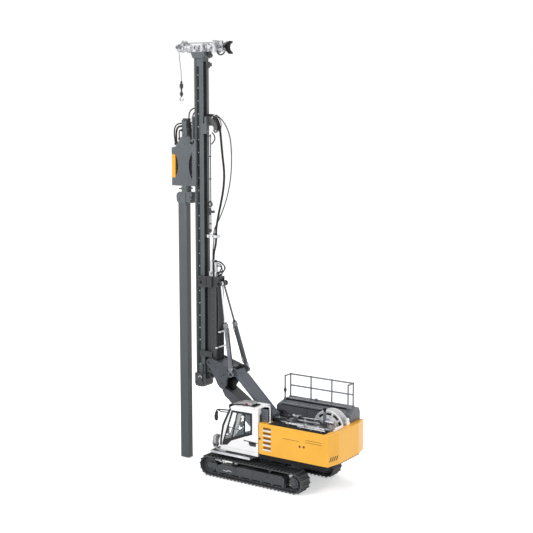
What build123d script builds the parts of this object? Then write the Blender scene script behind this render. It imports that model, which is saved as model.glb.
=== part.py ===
"""Die-cast scale model, 1:50, of a piling rig on tracks, in millimetres.

X points forward to the mast, Y to the cab's side and Z up from the floor.  Lengths below are
measured from the slewing axis, which stands over the middle of the tracks; the whole model is
moved at the end so that its origin is under the centre of its box.  A rig of 19 m makes 380 mm.
"""
import math
import os
from build123d import *

# Running clearances of the model.
gap = 0.4            # between parts that slide or turn past each other
pin_gap = 0.05       # round a pin or shaft in its bore

# Tracks.
track_reach = 107.5          # front of the shoes to the back of them
track_height = 19.0          # floor to the tips of the upper lugs
track_gauge = 52.8           # centre to centre of the two tracks
shoe_width = 14.0
shoe_count = 60
plate_thickness = 0.5        # of one shoe
lug_height = 1.0             # above the plate
link_thickness = 1.5
link_width = 5.0
roller_radius = 2.1
roller_count = 7
carrier_roller_radius = 1.5
side_frame_width = 9.0
tip_radius = track_height / 2
pitch_radius = tip_radius - lug_height - plate_thickness
wheel_x = track_reach / 2 - tip_radius
wheel_z = tip_radius
wheel_radius = pitch_radius - link_thickness - 0.3
wheel_half = 2.8
axle_radius = 1.4
roller_half = 3.4
tooth_count = 14             # of a driving wheel
roller_z = wheel_z - pitch_radius + link_thickness + roller_radius
roller_spacing = 2 * wheel_x / (roller_count + 1)
roller_places = [(count - (roller_count - 1) / 2) * roller_spacing for count in range(roller_count)]
track_half = track_gauge / 2 + shoe_width / 2

# Slewing ring and revolving deck.
ring_radius = 17.5
ring_bottom = 20.0
ring_top = 24.0
deck_top = 28.4              # underside of the house and the cab
deck_front = 24.0
deck_left = 22.0             # under the cab, which overhangs the step
boom_slot = 10.0             # half width kept free for the boom, and cab's inner side

# House: yellow sides and tail, dark hood on the right.
house_front = -7.8
house_rear = -76.0
house_half = 30.0
house_top = 55.6
tail_bulge = 3.0
tail_depth = 3.0             # of the tail's wall behind the recess
side_depth = 10.0            # of the left housing
hood_inner = -12.5
hood_skirt = 1.2             # thickness of the hood's wall towards the recess
hood_front = 2.0
hood_rear = -73.2
hood_ridge = 62.2
hood_top = 66.2
rail_top = 87.0
rail_wire = 0.55
recess_floor = 36.5

# Winch.
winch_x = -57.6
winch_z = 51.9
flange_radius = 14.8
flange_left = -3.0           # Y of the flange that shows
flange_thickness = 1.0
drum_radius = 8.5
drum_length = 7.4
slot_count = 10              # openings in the flange
shaft_radius = 1.6

# Cab, as side outlines in X and Z.
cab_rear = -7.0
cab_roof_front = 21.6
cab_nose = 34.4
cab_floor = 28.6
cab_roof = 67.6
cab_left = 30.0
cab_right = boom_slot + 0.8
cab_wall = 1.2
window_rear = 0.2
window_head = 61.8
window_sill = 44.4
door_post = 6.8
brow_z = cab_roof - 2.2      # where the roof meets the windscreen
step_x = (-0.5, 41.5)
step_y = (19.0, 33.4)
step_z = (22.2, 23.3)

cab_side = [(cab_rear, cab_floor), (cab_nose, cab_floor), (cab_nose + 0.6, cab_floor + 4),
            (cab_roof_front, brow_z), (cab_roof_front - 3, cab_roof - 0.9), (cab_roof_front - 17, cab_roof),
            (cab_rear, cab_roof)]

# Boom linkage: pins as (X, Z).
boom_foot = (7.0, 43.0)
boom_head = (43.0, 77.0)
link_offset = (-9.6, 11.6)    # from either boom pin to the arm's pin beside it
arm_foot = (boom_foot[0] + link_offset[0], boom_foot[1] + link_offset[1])
arm_head = (boom_head[0] + link_offset[0], boom_head[1] + link_offset[1])
boom_half = 7.6
arm_half = 7.4
arm_depth = 2.8
crank_half = 10.0
crank_plate = 2.0
pin_radius = 1.5

# Carrier that holds the mast, and the two cylinders that tilt it.
tilt_pin = (60.0, 96.0)
carrier_x = (54.6, 60.4)
carrier_half = 5.0
carrier_bottom = 92.5
head_z = (162.8, 172.6)
head_rear = 53.0
cylinder_foot = (arm_head[0], 12.6, arm_head[1])
cylinder_top = (51.6, 2.0, 166.6)
barrel_length = 45.0
barrel_radius = 1.75
rod_radius = 0.85
eye_gap = 0.6                # round the pin in a rod's eye, which drifts as the mast tilts
eye_radius = 2.2

# Mast.
mast_rear = 68.4
mast_front = 77.4
mast_half = 4.2
flange_half = 5.2
flange_depth = 1.2
lip_depth = 0.9              # of the sledge's claws behind the flange
mast_bottom = 72.0
mast_top = 365.0
rear_rail_half = 1.6
rear_rail_depth = 2.2
groove = (72.6, 75.8)        # shallow channel in both sides of the mast

# Drive on its sledge, and the pile in its clamp.
drive_x = 91.4
drive_half_length = 12.9
drive_half = 4.0
drive_z = (252.0, 286.0)
drive_shoulder = 290.5
column_x = 90.5
column_half = 2.7
column_top = 308.0
tooth_height = 2.4
eye_hole = (77.2, 291.4)     # lifting eyes on the sledge's side plates
slot_middle = 269.8          # height of the curved slots in the drive's sides
pile_x = 93.5
pile_depth = 9.2
pile_width = 6.2
pile_foot = 0.4
pile_top = 240.4
neck_bottom = 246.5

# Masthead.
arm_z = (mast_top + 4.4, mast_top + 10.2)
head_arm_x = (57.5, 85.0)
head_arm_half = 4.6
front_sheave = (100.2, mast_top + 9.4)
front_sheave_y = -7.6
rear_sheave = (50.4, mast_top + 8.2)
sheave_radius = 3.6
crown_front = 105.6
hook_top = 345.0
rope_radius = 0.3

# Hoses: points of their routes as (X, Z), and their places across the model.
main_radius = 0.65
thin_radius = 0.4
saddle_centre = (66.0, 301.5)
saddle_radius = 12.0
saddle_depth = 4.0
main_y = 1.3
thin_y = -1.4
clip_z = (207.0, 209.4)
manifold_z = (173.2, 187.6)
main_upper = [(66.0, 314.9), (59.5, 315.1), (53.6, 310.0), (51.8, 299.0), (50.0, 280.3), (47.9, 266.0),
              (48.6, 252.4), (51.4, 239.6), (54.3, 228.7), (56.5, 218.8), (57.3, 213.6), (57.3, 209.4)]
main_lower = [(57.3, 207.0), (57.3, 203.4), (58.7, 197.6), (60.2, 192.2), (60.2, 187.6)]
thin_upper = [(66.0, 315.2), (59.0, 315.6), (52.4, 311.2), (47.0, 304.5), (43.3, 295.5), (42.0, 283.0), (42.1, 268.5),
              (44.0, 254.5), (47.8, 241.0), (52.6, 229.5), (57.8, 220.0), (61.7, 214.0), (61.7, 209.4)]
thin_lower = [(61.7, 207.0), (61.7, 203.0), (63.0, 197.4), (63.0, 187.6)]
front_loop = [(93.35, 307.4), (98.6, 307.4), (102.4, 303.6), (103.2, 298.0), (102.2, 293.0), (102.2, 288.6)]
inner_loop = [(93.35, 305.0), (97.4, 305.0), (100.2, 301.6), (100.5, 296.4), (100.5, 290.6)]
rear_arc = [(86.3, -0.8, 306.5), (86.3, -0.8, 311.8), (85.7, -2.6, 317.0), (83.4, -5.4, 320.4), (79.4, -7.2, 320.9),
            (76.2, -7.6, 318.4), (76.0, -7.6, 313.5)]
side_arc = [(86.3, 1.1, 306.5), (86.3, 1.1, 310.6), (85.4, -1.4, 314.8), (83.6, -4.8, 317.8), (80.8, -7.2, 318.0),
            (78.6, -7.6, 316.4), (78.4, -7.6, 313.5)]

drive_front = drive_x + drive_half_length
model_front = max(drive_front, crown_front)
model_rear = house_rear - tail_bulge
slew_x = -(model_front + model_rear) / 2

parts = {}


def block(x, y, z):
    """A box from its (low, high) ranges."""
    size = [high - low for low, high in (x, y, z)]
    middle = [(high + low) / 2 for low, high in (x, y, z)]
    return Pos(*middle) * Box(*size)


def outline(points):
    """A flat face from (X, Z) corners."""
    return make_face(Polyline(*points, close=True))


def upright(face, y):
    """Stand an (X, Z) face up and give it the thickness between two Y values."""
    return Pos(0, y[1], 0) * Rot(90, 0, 0) * extrude(face, y[1] - y[0])


def bar(start, end, radius):
    """A round bar between two points."""
    along = Vector(end) - Vector(start)
    return Solid.make_cylinder(radius, along.length, Plane(origin=start, z_dir=along))


def cross_pin(x, z, y, radius):
    """A round bar across the model at (x, z), between two Y values."""
    return bar((x, y[0], z), (x, y[1], z), radius)


def mirrored(shape):
    """The same shape on the other side of the centre plane."""
    return mirror(shape, Plane.XZ)


def hose(points, radius, sides=0):
    """A tube of straight runs joined by arcs as large as the runs allow, round or with flat sides."""
    radii = []
    for before, corner, after in zip(points, points[1:], points[2:]):
        run_in = Vector(*corner) - Vector(*before)
        run_out = Vector(*after) - Vector(*corner)
        half_turn = math.radians(run_in.get_angle(run_out)) / 2
        radii.append(0.45 * min(run_in.length, run_out.length) / math.tan(half_turn))
    print("radii in diameters:", [round(r / radius / 2, 1) for r in radii])
    path = FilletPolyline(*points, radius=radii)
    form = RegularPolygon(radius, sides) if sides else Circle(radius)
    tube = sweep(Plane(origin=path @ 0, z_dir=path % 0) * form, path=path)
    print("length", round(path.length, 1), "volume error",
          round(tube.volume / (form.area * path.length) - 1, 4))
    return tube


def on_loop(distance, radius):
    """(X, Z) on the track's loop, at a distance along its pitch line and a radius from the wheels."""
    straight = 2 * wheel_x
    turn = math.pi * pitch_radius
    distance = distance % (2 * straight + 2 * turn)
    if distance < straight:
        return (wheel_x - distance, wheel_z - radius)
    if distance < straight + turn:
        angle = (distance - straight) / pitch_radius
        return (-wheel_x - radius * math.sin(angle), wheel_z - radius * math.cos(angle))
    if distance < 2 * straight + turn:
        return (distance - straight - turn - wheel_x, wheel_z + radius)
    angle = (distance - 2 * straight - turn) / pitch_radius
    return (wheel_x + radius * math.sin(angle), wheel_z + radius * math.cos(angle))


def track_loop():
    """Shoes with a lug each on a ring of links, centred on Y = 0."""
    perimeter = 4 * wheel_x + 2 * math.pi * pitch_radius
    pitch = perimeter / shoe_count
    plate = pitch_radius + plate_thickness
    # share of the pitch, radius
    shoe = [(0.00, pitch_radius), (0.05, plate), (0.40, plate), (0.46, tip_radius),
            (0.56, tip_radius), (0.62, plate), (0.95, plate)]
    corners = [on_loop((count + share) * pitch, radius)
               for count in range(shoe_count) for share, radius in shoe]
    inside = SlotCenterToCenter(2 * wheel_x, 2 * (pitch_radius - 0.3))
    ring = outline(corners) - Pos(0, wheel_z) * inside
    loop = upright(ring, (-shoe_width / 2, shoe_width / 2))
    links = SlotCenterToCenter(2 * wheel_x, 2 * pitch_radius) \
        - SlotCenterToCenter(2 * wheel_x, 2 * (pitch_radius - link_thickness))
    return loop + upright(Pos(0, wheel_z) * links, (-link_width / 2, link_width / 2))


def side_frame():
    """Box frame of the left track, centred on Y = 0, with pockets for the rollers and yokes for the axles."""
    half = side_frame_width / 2
    top = wheel_z + pitch_radius - link_thickness - 2 * carrier_roller_radius - 0.3
    bottom = roller_z - 0.4
    front = wheel_x - wheel_radius - 1.0
    rear = 3.0 - front
    corners = [(rear, bottom), (front, bottom), (front, top - 3), (front - 6, top - 1), (15, top - 1), (13, top),
               (rear + 3, top), (rear, top - 2)]
    frame = upright(outline(corners), (-half, half))
    yoke = outline([(front - 1, wheel_z - 2.2), (wheel_x, wheel_z - 2.2), (wheel_x + 2.2, wheel_z - 1),
                    (wheel_x + 2.2, wheel_z + 1), (wheel_x, wheel_z + 2.2), (front - 1, wheel_z + 2.2)])
    frame += upright(yoke, (wheel_half + gap, half)) + upright(yoke, (-half, -wheel_half - gap))
    housing = outline([(-wheel_x - 3, wheel_z - 3), (rear + 1, bottom + 1), (rear + 1, top - 3),
                       (-wheel_x - 3, wheel_z + 3)])
    frame += upright(housing, (-half, -wheel_half - gap))
    # ribs on the outer face: x rear, x front, z low, z high
    for x0, x1, z0, z1 in ((-17, -12, 8.6, top - 1), (-1.5, 1.5, 8.0, 12.5), (16, 20, 8.6, top - 2.4), (-31, -28, 8, top - 3)):
        frame += block((x0, x1), (half - 0.1, half + 0.5), (z0, z1))
    for x in (-wheel_x, wheel_x):
        frame -= cross_pin(x, wheel_z, (-half - 1, half + 1), axle_radius + pin_gap)
    for x in roller_places:
        frame -= cross_pin(x, roller_z, (-roller_half - 0.3, roller_half + 0.3), roller_radius + 0.3)
    return frame


def wheel(kind):
    """Toothed driving wheel with its hub, or smooth front wheel with a hollow in each face."""
    if kind == "idlers":
        disc = cross_pin(0, 0, (-wheel_half, wheel_half), wheel_radius)
        hollow = Circle(wheel_radius - 1.3) - Circle(2.4)
        return disc - upright(hollow, (wheel_half - 0.8, wheel_half + 1)) - upright(hollow, (-wheel_half - 1, 0.8 - wheel_half))
    corners = []
    for count in range(tooth_count):
        for share, radius in ((0.0, wheel_radius), (0.4, wheel_radius), (0.55, wheel_radius - 1.1), (0.85, wheel_radius - 1.1)):
            angle = 2 * math.pi * (count + share) / tooth_count
            corners.append((radius * math.cos(angle), radius * math.sin(angle)))
    disc = upright(outline(corners), (-wheel_half, wheel_half))
    return disc + cross_pin(0, 0, (wheel_half, side_frame_width / 2 + 0.4), 4.2) \
        + cross_pin(0, 0, (wheel_half, side_frame_width / 2 + 1.0), 2.6)


def undercarriage():
    """Tracks, side frames, wheels and the car body between them."""
    centre = track_gauge / 2
    frame = side_frame()
    loop = track_loop()
    wheels = {"sprockets": [], "idlers": [], "rollers": []}
    frames = []
    for side, name in ((1, "left"), (-1, "right")):
        y = side * centre
        parts["track_" + name] = Pos(0, y, 0) * loop
        frames.append((Pos(0, y, 0) * (frame if side > 0 else mirrored(frame))).solid())
        for x, kind in ((-wheel_x, "sprockets"), (wheel_x, "idlers")):
            end = side_frame_width / 2
            turning = wheel(kind) + cross_pin(0, 0, (-end, end), axle_radius)
            if side < 0:
                turning = mirrored(turning)
            wheels[kind].append((Pos(x, y, wheel_z) * turning).solid())
        for x in roller_places:
            wheels["rollers"].append(cross_pin(x, roller_z, (y - roller_half, y + roller_half), roller_radius))
        top_z = wheel_z + pitch_radius - link_thickness - carrier_roller_radius
        for x in (-18.0, 18.0):
            wheels["rollers"].append(cross_pin(x, top_z, (y - 2.0, y + 2.0), carrier_roller_radius))
    for kind, solids in wheels.items():
        parts[kind] = Compound(solids)
    parts["side_frames"] = Compound(frames)
    inner = centre - side_frame_width / 2
    beams = block((-26, -12), (-inner, inner), (7, 15)) + block((12, 26), (-inner, inner), (7, 15))
    drum = Pos(0, 0, 13) * Cylinder(16.0, 14.0)
    ring = Pos(0, 0, (ring_bottom + ring_top) / 2) * Cylinder(ring_radius, ring_top - ring_bottom)
    parts["car_body"] = beams + block((-20, 20), (-14, 14), (6.5, 17)) + drum + ring


def deck():
    """Revolving deck with the ears that carry the boom and the upper arm."""
    plate = block((house_rear + 3, house_front), (-house_half + 1, house_half - 1), (ring_top, deck_top))
    plate += block((house_front, deck_front), (-house_half + 1, deck_left), (ring_top, deck_top))
    plate += block((deck_front, 33), (boom_slot + 0.8, deck_left), (ring_top, deck_top))
    ear_outline = [(-14, deck_top), (22, deck_top), (11.5, boom_foot[1] + 3), (5, boom_foot[1] + 5),
                   (arm_foot[0] + 3.5, arm_foot[1] + 1), (arm_foot[0] + 1.5, arm_foot[1] + 3),
                   (arm_foot[0] - 3, arm_foot[1] + 3), (arm_foot[0] - 8, boom_foot[1] + 2)]
    ear = upright(outline(ear_outline), (boom_half + gap, boom_slot))
    ears = ear + mirrored(ear)
    floor = block((house_rear + tail_depth, -20), (hood_inner, house_half - side_depth), (deck_top, recess_floor))
    for x in (3.0, 28.0):
        floor += block((x, x + 3), (step_y[0] + 0.5, deck_left), (step_z[1], ring_top))
    pins = cross_pin(*boom_foot, (-boom_slot, boom_slot), pin_radius) \
        + cross_pin(*arm_foot, (-boom_slot, boom_slot), pin_radius)
    parts["deck_frame"] = plate + ears + pins + floor


def house():
    """Yellow housings on the left, the right and the tail, with the hood and its railing."""
    tail_front = house_rear + tail_depth
    left = block((tail_front, house_front), (house_half - side_depth, house_half), (deck_top, house_top))
    for level in range(5):
        z = 49.8 - level * 4.2
        left -= block((-20.0, -12.0), (house_half - 1.0, house_half + 1), (z, z + 2.6))
    parts["house_left"] = left
    parts["walkway"] = block((house_rear + tail_depth + 0.6, cab_rear - 10.2), (house_half - side_depth, house_half - 0.7),
                             (house_top, house_top + 0.6))
    right = block((tail_front, hood_front), (-house_half, hood_inner - hood_skirt), (deck_top, house_top))
    parts["house_right"] = right
    corner_y = house_half * 0.55
    plan = make_face(Polyline((tail_front, -house_half), (house_rear, -house_half),
                              (model_rear, -corner_y), (model_rear, corner_y),
                              (house_rear, house_half), (tail_front, house_half), close=True))
    tail = Pos(0, 0, deck_top) * extrude(plan, house_top - deck_top)
    parts["house_tail"] = tail
    hood_y = (-house_half, hood_inner)
    profile = [(hood_y[0] + 1.0, house_top), (hood_y[1] - hood_skirt, house_top), (hood_y[1] - hood_skirt, deck_top),
               (hood_y[1], deck_top), (hood_y[1], hood_ridge), (hood_y[1] - 6.0, hood_top), (hood_y[0] + 3.0, hood_top),
               (hood_y[0] + 1.0, hood_top - 4)]
    face = make_face(Polyline(*[(0, y, z) for y, z in profile], close=True))
    hood = Pos(hood_rear, 0, 0) * extrude(face, hood_front - hood_rear, dir=(1, 0, 0))
    nose = outline([(hood_front - 5, hood_top + 1), (hood_front - 5, hood_top), (hood_front, hood_ridge - 2),
                    (hood_front + 1, hood_top + 1)])
    hood -= upright(nose, (hood_y[0] - 1, hood_y[1] + 1))
    hood -= cross_pin(winch_x, winch_z, (hood_y[1] - hood_skirt - 1, hood_y[1] + 1), shaft_radius + pin_gap)
    parts["hood_right"] = hood
    posts = (-4.1, -25.4, -46.6, -68.0)
    rail_y = -28.0 + 2.0
    back_y = rail_y + 9.0
    wires = []
    for x in posts:
        wires.append(bar((x, rail_y, hood_top), (x, rail_y, rail_top), rail_wire))
    for x in (posts[0], posts[-1]):
        wires.append(bar((x, back_y, hood_top), (x, back_y, rail_top), rail_wire))
        wires.append(bar((x, rail_y, rail_top), (x, back_y, rail_top), rail_wire))
    for z in (rail_top, (rail_top + hood_top) / 2):
        wires.append(bar((posts[0], rail_y, z), (posts[-1], rail_y, z), rail_wire))
    railing = wires[0]
    for wire in wires[1:]:
        railing += wire
    parts["railing"] = railing


def machinery():
    """What lies in the open recess of the house: pump, pipes and the winch."""
    pump = block((-26, -14.5), (9, 18), (recess_floor, 58.5))
    parts["pump"] = fillet(pump.edges().filter_by(Axis.X), 3.0)
    stand = block((-33.5, -31), (2.5, 18), (recess_floor, 60.0)) + block((-61.0, -59.4), (9, 18), (recess_floor, 56.5))
    # y, z, radius, x rear, x front
    for y, z, radius, rear, front in ((4.6, 58.6, 1.4, -52, -26.5), (8.6, 57.0, 1.1, -56, -28), (12.0, 54.6, 1.3, -59.4, -31),
                                      (16.0, 53.6, 0.8, -59.4, -31), (15.0, 57.4, 0.9, -33, -26)):
        stand += bar((rear, y, z), (front, y, z), radius)
    parts["pipes"] = stand
    left = (flange_left, flange_left + flange_thickness)
    right = (flange_left - drum_length - flange_thickness, flange_left - drum_length)
    drum = cross_pin(winch_x, winch_z, left, flange_radius) + cross_pin(winch_x, winch_z, right, flange_radius)
    drum += cross_pin(winch_x, winch_z, (right[1], left[0]), drum_radius)
    drum += cross_pin(winch_x, winch_z, (left[1], left[1] + 2.5), drum_radius)
    drum += cross_pin(winch_x, winch_z, (left[1] + 2.5, left[1] + 4.8), drum_radius - 3)
    drum += cross_pin(winch_x, winch_z, (hood_inner - hood_skirt + gap, left[1] + 7.4), shaft_radius)
    ring = Circle(flange_radius - 1.5) - Circle(drum_radius + 1.8)
    for count in range(slot_count // 2):
        ring -= Rot(0, 0, count * 360 / slot_count) * Rectangle(2 * flange_radius, 1.7)
    drum -= Pos(winch_x, 0, winch_z) * upright(ring, (left[0] - 0.5, left[1] + 0.5))
    parts["winch_drum"] = drum
    y = (left[1] + 5.2, left[1] + 7.2)
    post = upright(outline([(winch_x - 8, recess_floor), (winch_x + 8, recess_floor), (winch_x + 2.5, winch_z + 3),
                            (winch_x + 1.2, 67.0), (winch_x - 1.2, 67.0), (winch_x - 2.5, winch_z + 3)]), y)
    parts["winch_stands"] = post - cross_pin(winch_x, winch_z, (y[0] - 1, y[1] + 1), shaft_radius + pin_gap)


def cab():
    """Hollow cab with its door, panes, seat and outside fittings."""
    body = outline(cab_side)
    inside = offset(body, amount=-cab_wall, kind=Kind.INTERSECTION)
    shell = upright(body, (cab_right, cab_left)) - upright(inside, (cab_right + cab_wall, cab_left - cab_wall))
    glass_line = [(window_rear, window_head), (cab_roof_front - 1.2, window_head - 0.4),
                  (cab_nose - 3.2, cab_floor + 2.0), (27.0, cab_floor + 2.2), (23.0, 35.4), (window_rear, window_sill)]
    window = outline(glass_line)
    shell -= upright(window, (cab_left - cab_wall - 0.5, cab_left + 1))
    shell -= upright(window, (cab_right - 1, cab_right + cab_wall + 0.5))
    slant = (Vector(cab_roof_front, brow_z) - Vector(cab_nose + 0.6, cab_floor + 4)).normalized()
    front = Vector(-slant.Y, slant.X) * -2.5
    low = Vector(cab_nose + 0.6, cab_floor + 4) + slant * 2.0
    high = Vector(cab_roof_front, brow_z) - slant * 1.5
    screen = outline([low - front, low + front, high + front, high - front])
    shell -= upright(screen, (cab_right + 2.0, cab_left - 2.0))
    shell -= block((cab_rear - 1, cab_rear + 2), (cab_right + 3, cab_left - 3), (window_sill, window_head))
    parts["cab_shell"] = shell + block((cab_rear + 0.4, cab_nose - 1.5), (deck_left + gap, cab_left - 0.4),
                                       (deck_top - 3.2, cab_floor + 0.4))
    pane = offset(window, amount=-0.05)
    frame = pane - offset(window, amount=-1.0)
    frame += outline([(door_post, 35), (door_post + 1.0, 35), (door_post + 1.0, window_head - 0.5),
                      (door_post, window_head - 0.5)]) & pane
    rails = upright(frame, (cab_left - 1.0, cab_left - 0.1))
    parts["cab_frames"] = rails
    panes = upright(offset(window, amount=-0.9), (cab_left - 0.75, cab_left - 0.35))
    panes -= upright(frame, (cab_left - 1.0, cab_left - 0.1))
    parts["cab_glass"] = panes
    seat = block((2.5, 11), (15.5, 25), (36, 39)) + block((1.2, 4), (15.5, 25), (39, 52))
    seat += block((3.5, 9), (17, 23.5), (cab_floor + cab_wall, 36))
    parts["cab_seat"] = seat
    guard = outline([(-3.0, cab_roof), (4.6, cab_roof), (17.0, cab_roof - 0.8), (19.5, cab_roof - 0.4), (15.0, cab_roof + 1.4),
                     (4.0, cab_roof + 3.2), (-1.5, cab_roof + 3.2), (-3.0, cab_roof + 1.4)])
    guard = upright(guard, (13.5, 27.0)) - upright(body, (cab_right, cab_left))
    parts["roof_guard"] = guard
    step = block(step_x, step_y, step_z)
    step += block(step_x, (step_y[1] - 0.8, step_y[1]), (step_z[0], step_z[1] + 0.9))
    step += block((step_x[1] - 0.8, step_x[1]), step_y, (step_z[0], step_z[1] + 0.9))
    parts["side_step"] = step
    parts["rear_box"] = block((-14.0, cab_rear - 0.4), (18.0, 25.5), (house_top, 67.0))


def linkage():
    """Lower boom, upper arm and the bell crank that they carry."""
    along = Vector(boom_head[0] - boom_foot[0], boom_head[1] - boom_foot[1])
    reach = along.length
    lean = math.degrees(math.atan2(along.Y, along.X))
    shape = make_face(Polyline((-4.0, -3.0), (8.0, -7.0), (reach - 18, -7.0), (reach - 1.5, -5.4),
                               (reach + 3.6, -2.6), (reach + 3.6, 2.8), (reach - 3.5, 4.4), (18.5, 12.0),
                               (6.0, 10.0), (-4.0, 3.4), close=True))
    shape = fillet(shape.vertices(), 1.6)
    boom = upright(Pos(*boom_foot) * Rot(0, 0, lean) * shape, (-boom_half, boom_half))
    for x, z in (boom_foot, boom_head):
        boom -= cross_pin(x, z, (-boom_half - 1, boom_half + 1), pin_radius + pin_gap)
    parts["lower_boom"] = boom
    along = Vector(arm_head[0] - arm_foot[0], arm_head[1] - arm_foot[1])
    lean = math.degrees(math.atan2(along.Y, along.X))
    bar_shape = make_face(Polyline((0, -arm_depth / 2), (along.length, -arm_depth / 2),
                                   (along.length, arm_depth / 2), (0, arm_depth / 2), close=True))
    eyes = Circle(2.6) + Pos(along.length, 0) * Circle(2.6) + bar_shape
    arm = upright(Pos(*arm_foot) * Rot(0, 0, lean) * eyes, (-arm_half, arm_half))
    for x, z in (arm_foot, arm_head):
        arm -= cross_pin(x, z, (-arm_half - 1, arm_half + 1), pin_radius + pin_gap)
    parts["upper_arm"] = arm
    pin_x, pin_z = arm_head
    plate = outline([(tilt_pin[0] + 3.2, tilt_pin[1] - 1.0), (tilt_pin[0] + 0.6, tilt_pin[1] + 3.0),
                     (tilt_pin[0] - 5, tilt_pin[1] + 3.8), (pin_x + 3.0, pin_z + 5.0), (pin_x - 2.4, pin_z + 2.6),
                     (pin_x - 3.2, pin_z - 0.6), (pin_x - 1.2, pin_z - 3.0), (boom_head[0] - 4.0, boom_head[1] - 2.0),
                     (boom_head[0] - 0.5, boom_head[1] - 4.2), (boom_head[0] + 3.5, boom_head[1] - 2.4),
                     (tilt_pin[0] - 5, tilt_pin[1] - 10.5)])
    plate = fillet(plate.vertices(), 1.2)
    left = upright(plate, (crank_half - crank_plate, crank_half))
    crank = left + mirrored(left)
    for x, z in (boom_head, arm_head, tilt_pin):
        crank += cross_pin(x, z, (-crank_half, crank_half), pin_radius)
    for x, z, radius in (tilt_pin + (3.0,), boom_head + (2.6,)):
        crank += cross_pin(x, z, (crank_half, crank_half + 0.7), radius) \
            + cross_pin(x, z, (-crank_half - 0.7, -crank_half), radius)
    crank += block((40, 54), (-crank_half, crank_half), (91.0, 92.6))
    foot_x, foot_y, foot_z = cylinder_foot
    crank += cross_pin(foot_x, foot_z, (-foot_y - 1.6, foot_y + 1.6), 1.0)
    parts["bell_crank"] = crank


def carrier():
    """Beam behind the mast with the head that guides it, and the cylinders that tilt it."""
    beam = block(carrier_x, (-carrier_half, carrier_half), (carrier_bottom + 6, head_z[1]))
    foot = block((carrier_x[0], tilt_pin[0] + 2.5), (-carrier_half, carrier_half), (carrier_bottom, carrier_bottom + 10))
    foot -= cross_pin(*tilt_pin, (-9, 9), pin_radius + pin_gap)
    grip = mast_half + gap
    guide = (carrier_x[1] - 1, mast_front - flange_depth - gap - lip_depth - gap)
    upper = block(guide, (-grip - 1.4, grip + 1.4), head_z)
    upper -= block((mast_rear - rear_rail_depth - gap, 90), (-grip, grip), (head_z[0] - 1, head_z[1] + 1))
    lower_z = (carrier_bottom + 7, carrier_bottom + 12)
    lower = block((carrier_x[1] - 1, mast_front - 4.4), (-grip - 1.4, grip + 1.4), lower_z)
    lower -= block((mast_rear - rear_rail_depth - gap, 90), (-grip, grip), (lower_z[0] - 1, lower_z[1] + 1))
    head = block((head_rear, carrier_x[1]), (-5.2, 5.2), (head_z[0] + 1.0, head_z[1]))
    top_x, top_y, top_z = cylinder_top
    head += cross_pin(top_x, top_z, (-5.2, 5.2), 2.4)
    slot = block((top_x - 4, carrier_x[0] - 0.4), (-4.2, 4.2), (head_z[0] - 2, head_z[1] - 1.4))
    body = beam + foot + upper + lower + (head - slot)
    body += block((carrier_x[1] - 1, mast_rear - rear_rail_depth - gap), (-2.4, 2.4), (lower_z[0], head_z[1]))
    body += cross_pin(top_x, top_z, (-5.2, 5.2), 0.8)
    for z in head_z:
        body += block((carrier_x[1] + 4, mast_front - 4), (grip + 1.3, grip + 1.8), (z - 1.2, z) if z > 170 else (z, z + 1.2))
    parts["carrier"] = body
    rows = [cross for cross in (-3.6, -1.8, 0.0, 1.8, 3.6)]
    tubes = [bar((carrier_x[0] - 0.9, y, carrier_bottom + 4), (carrier_x[0] - 0.9, y, 129.0 - y), 0.8) for y in rows]
    jumper = [(57.4, 0.9, manifold_z[1] - 1.4), (53.6, 0.9, manifold_z[1] - 1.4), (49.6, 1.2, 184.4),
              (47.6, 1.6, 180.4), (49.4, 2.0, 176.6), (53.0, 2.0, 176.6)]
    parts["carrier_hoses"] = Compound(tubes + [hose(jumper, thin_radius, 8).solid()])
    clips = [block((carrier_x[0] - 2.6, carrier_x[0] - 1.7), (-reach, reach), (z, z + 1.2)).solid()
             for z, reach in ((109.0, 9.6), (122.5, 5.0))]
    parts["carrier_clips"] = Compound(clips)
    manifold = block((57.4, mast_rear - rear_rail_depth - gap), (-3.0, 3.0), manifold_z)
    manifold += block((53.0, 57.5), (-1.6, 2.6), (head_z[1], 179.4))
    for y, z in ((-0.6, 181.2), (1.4, 181.0)):
        manifold += bar((55.2, y, 179.0), (55.2, y, z), 0.6)
    parts["hose_manifold"] = manifold
    for side, name in ((1, "left"), (-1, "right")):
        foot_at = Vector(cylinder_foot[0], side * cylinder_foot[1], cylinder_foot[2])
        top_at = Vector(cylinder_top[0], side * cylinder_top[1], cylinder_top[2])
        way = (top_at - foot_at).normalized()
        low = foot_at + way * 3.0
        mouth = foot_at + way * barrel_length
        barrel = bar(low, mouth, barrel_radius)
        eye_y = (side * cylinder_foot[1] - 1.2, side * cylinder_foot[1] + 1.2)
        barrel += cross_pin(foot_at.X, foot_at.Z, eye_y, eye_radius)
        barrel += bar(foot_at + way * 1.0, low + way, 1.3)
        bore_low = foot_at + way * 8.0
        barrel -= bar(bore_low, mouth + way, rod_radius + pin_gap)
        barrel -= cross_pin(foot_at.X, foot_at.Z, (eye_y[0] - 1, eye_y[1] + 1), 1.0 + pin_gap)
        parts["barrel_" + name] = barrel
        rod = bar(foot_at + way * 14.0, top_at - way * 1.8, rod_radius)
        rod += cross_pin(top_at.X, top_at.Z, (top_at.Y - 1.0, top_at.Y + 1.0), 2.0)
        rod -= cross_pin(top_at.X, top_at.Z, (top_at.Y - 3.0, top_at.Y + 3.0), 0.8 + eye_gap)
        parts["rod_" + name] = rod


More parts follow.
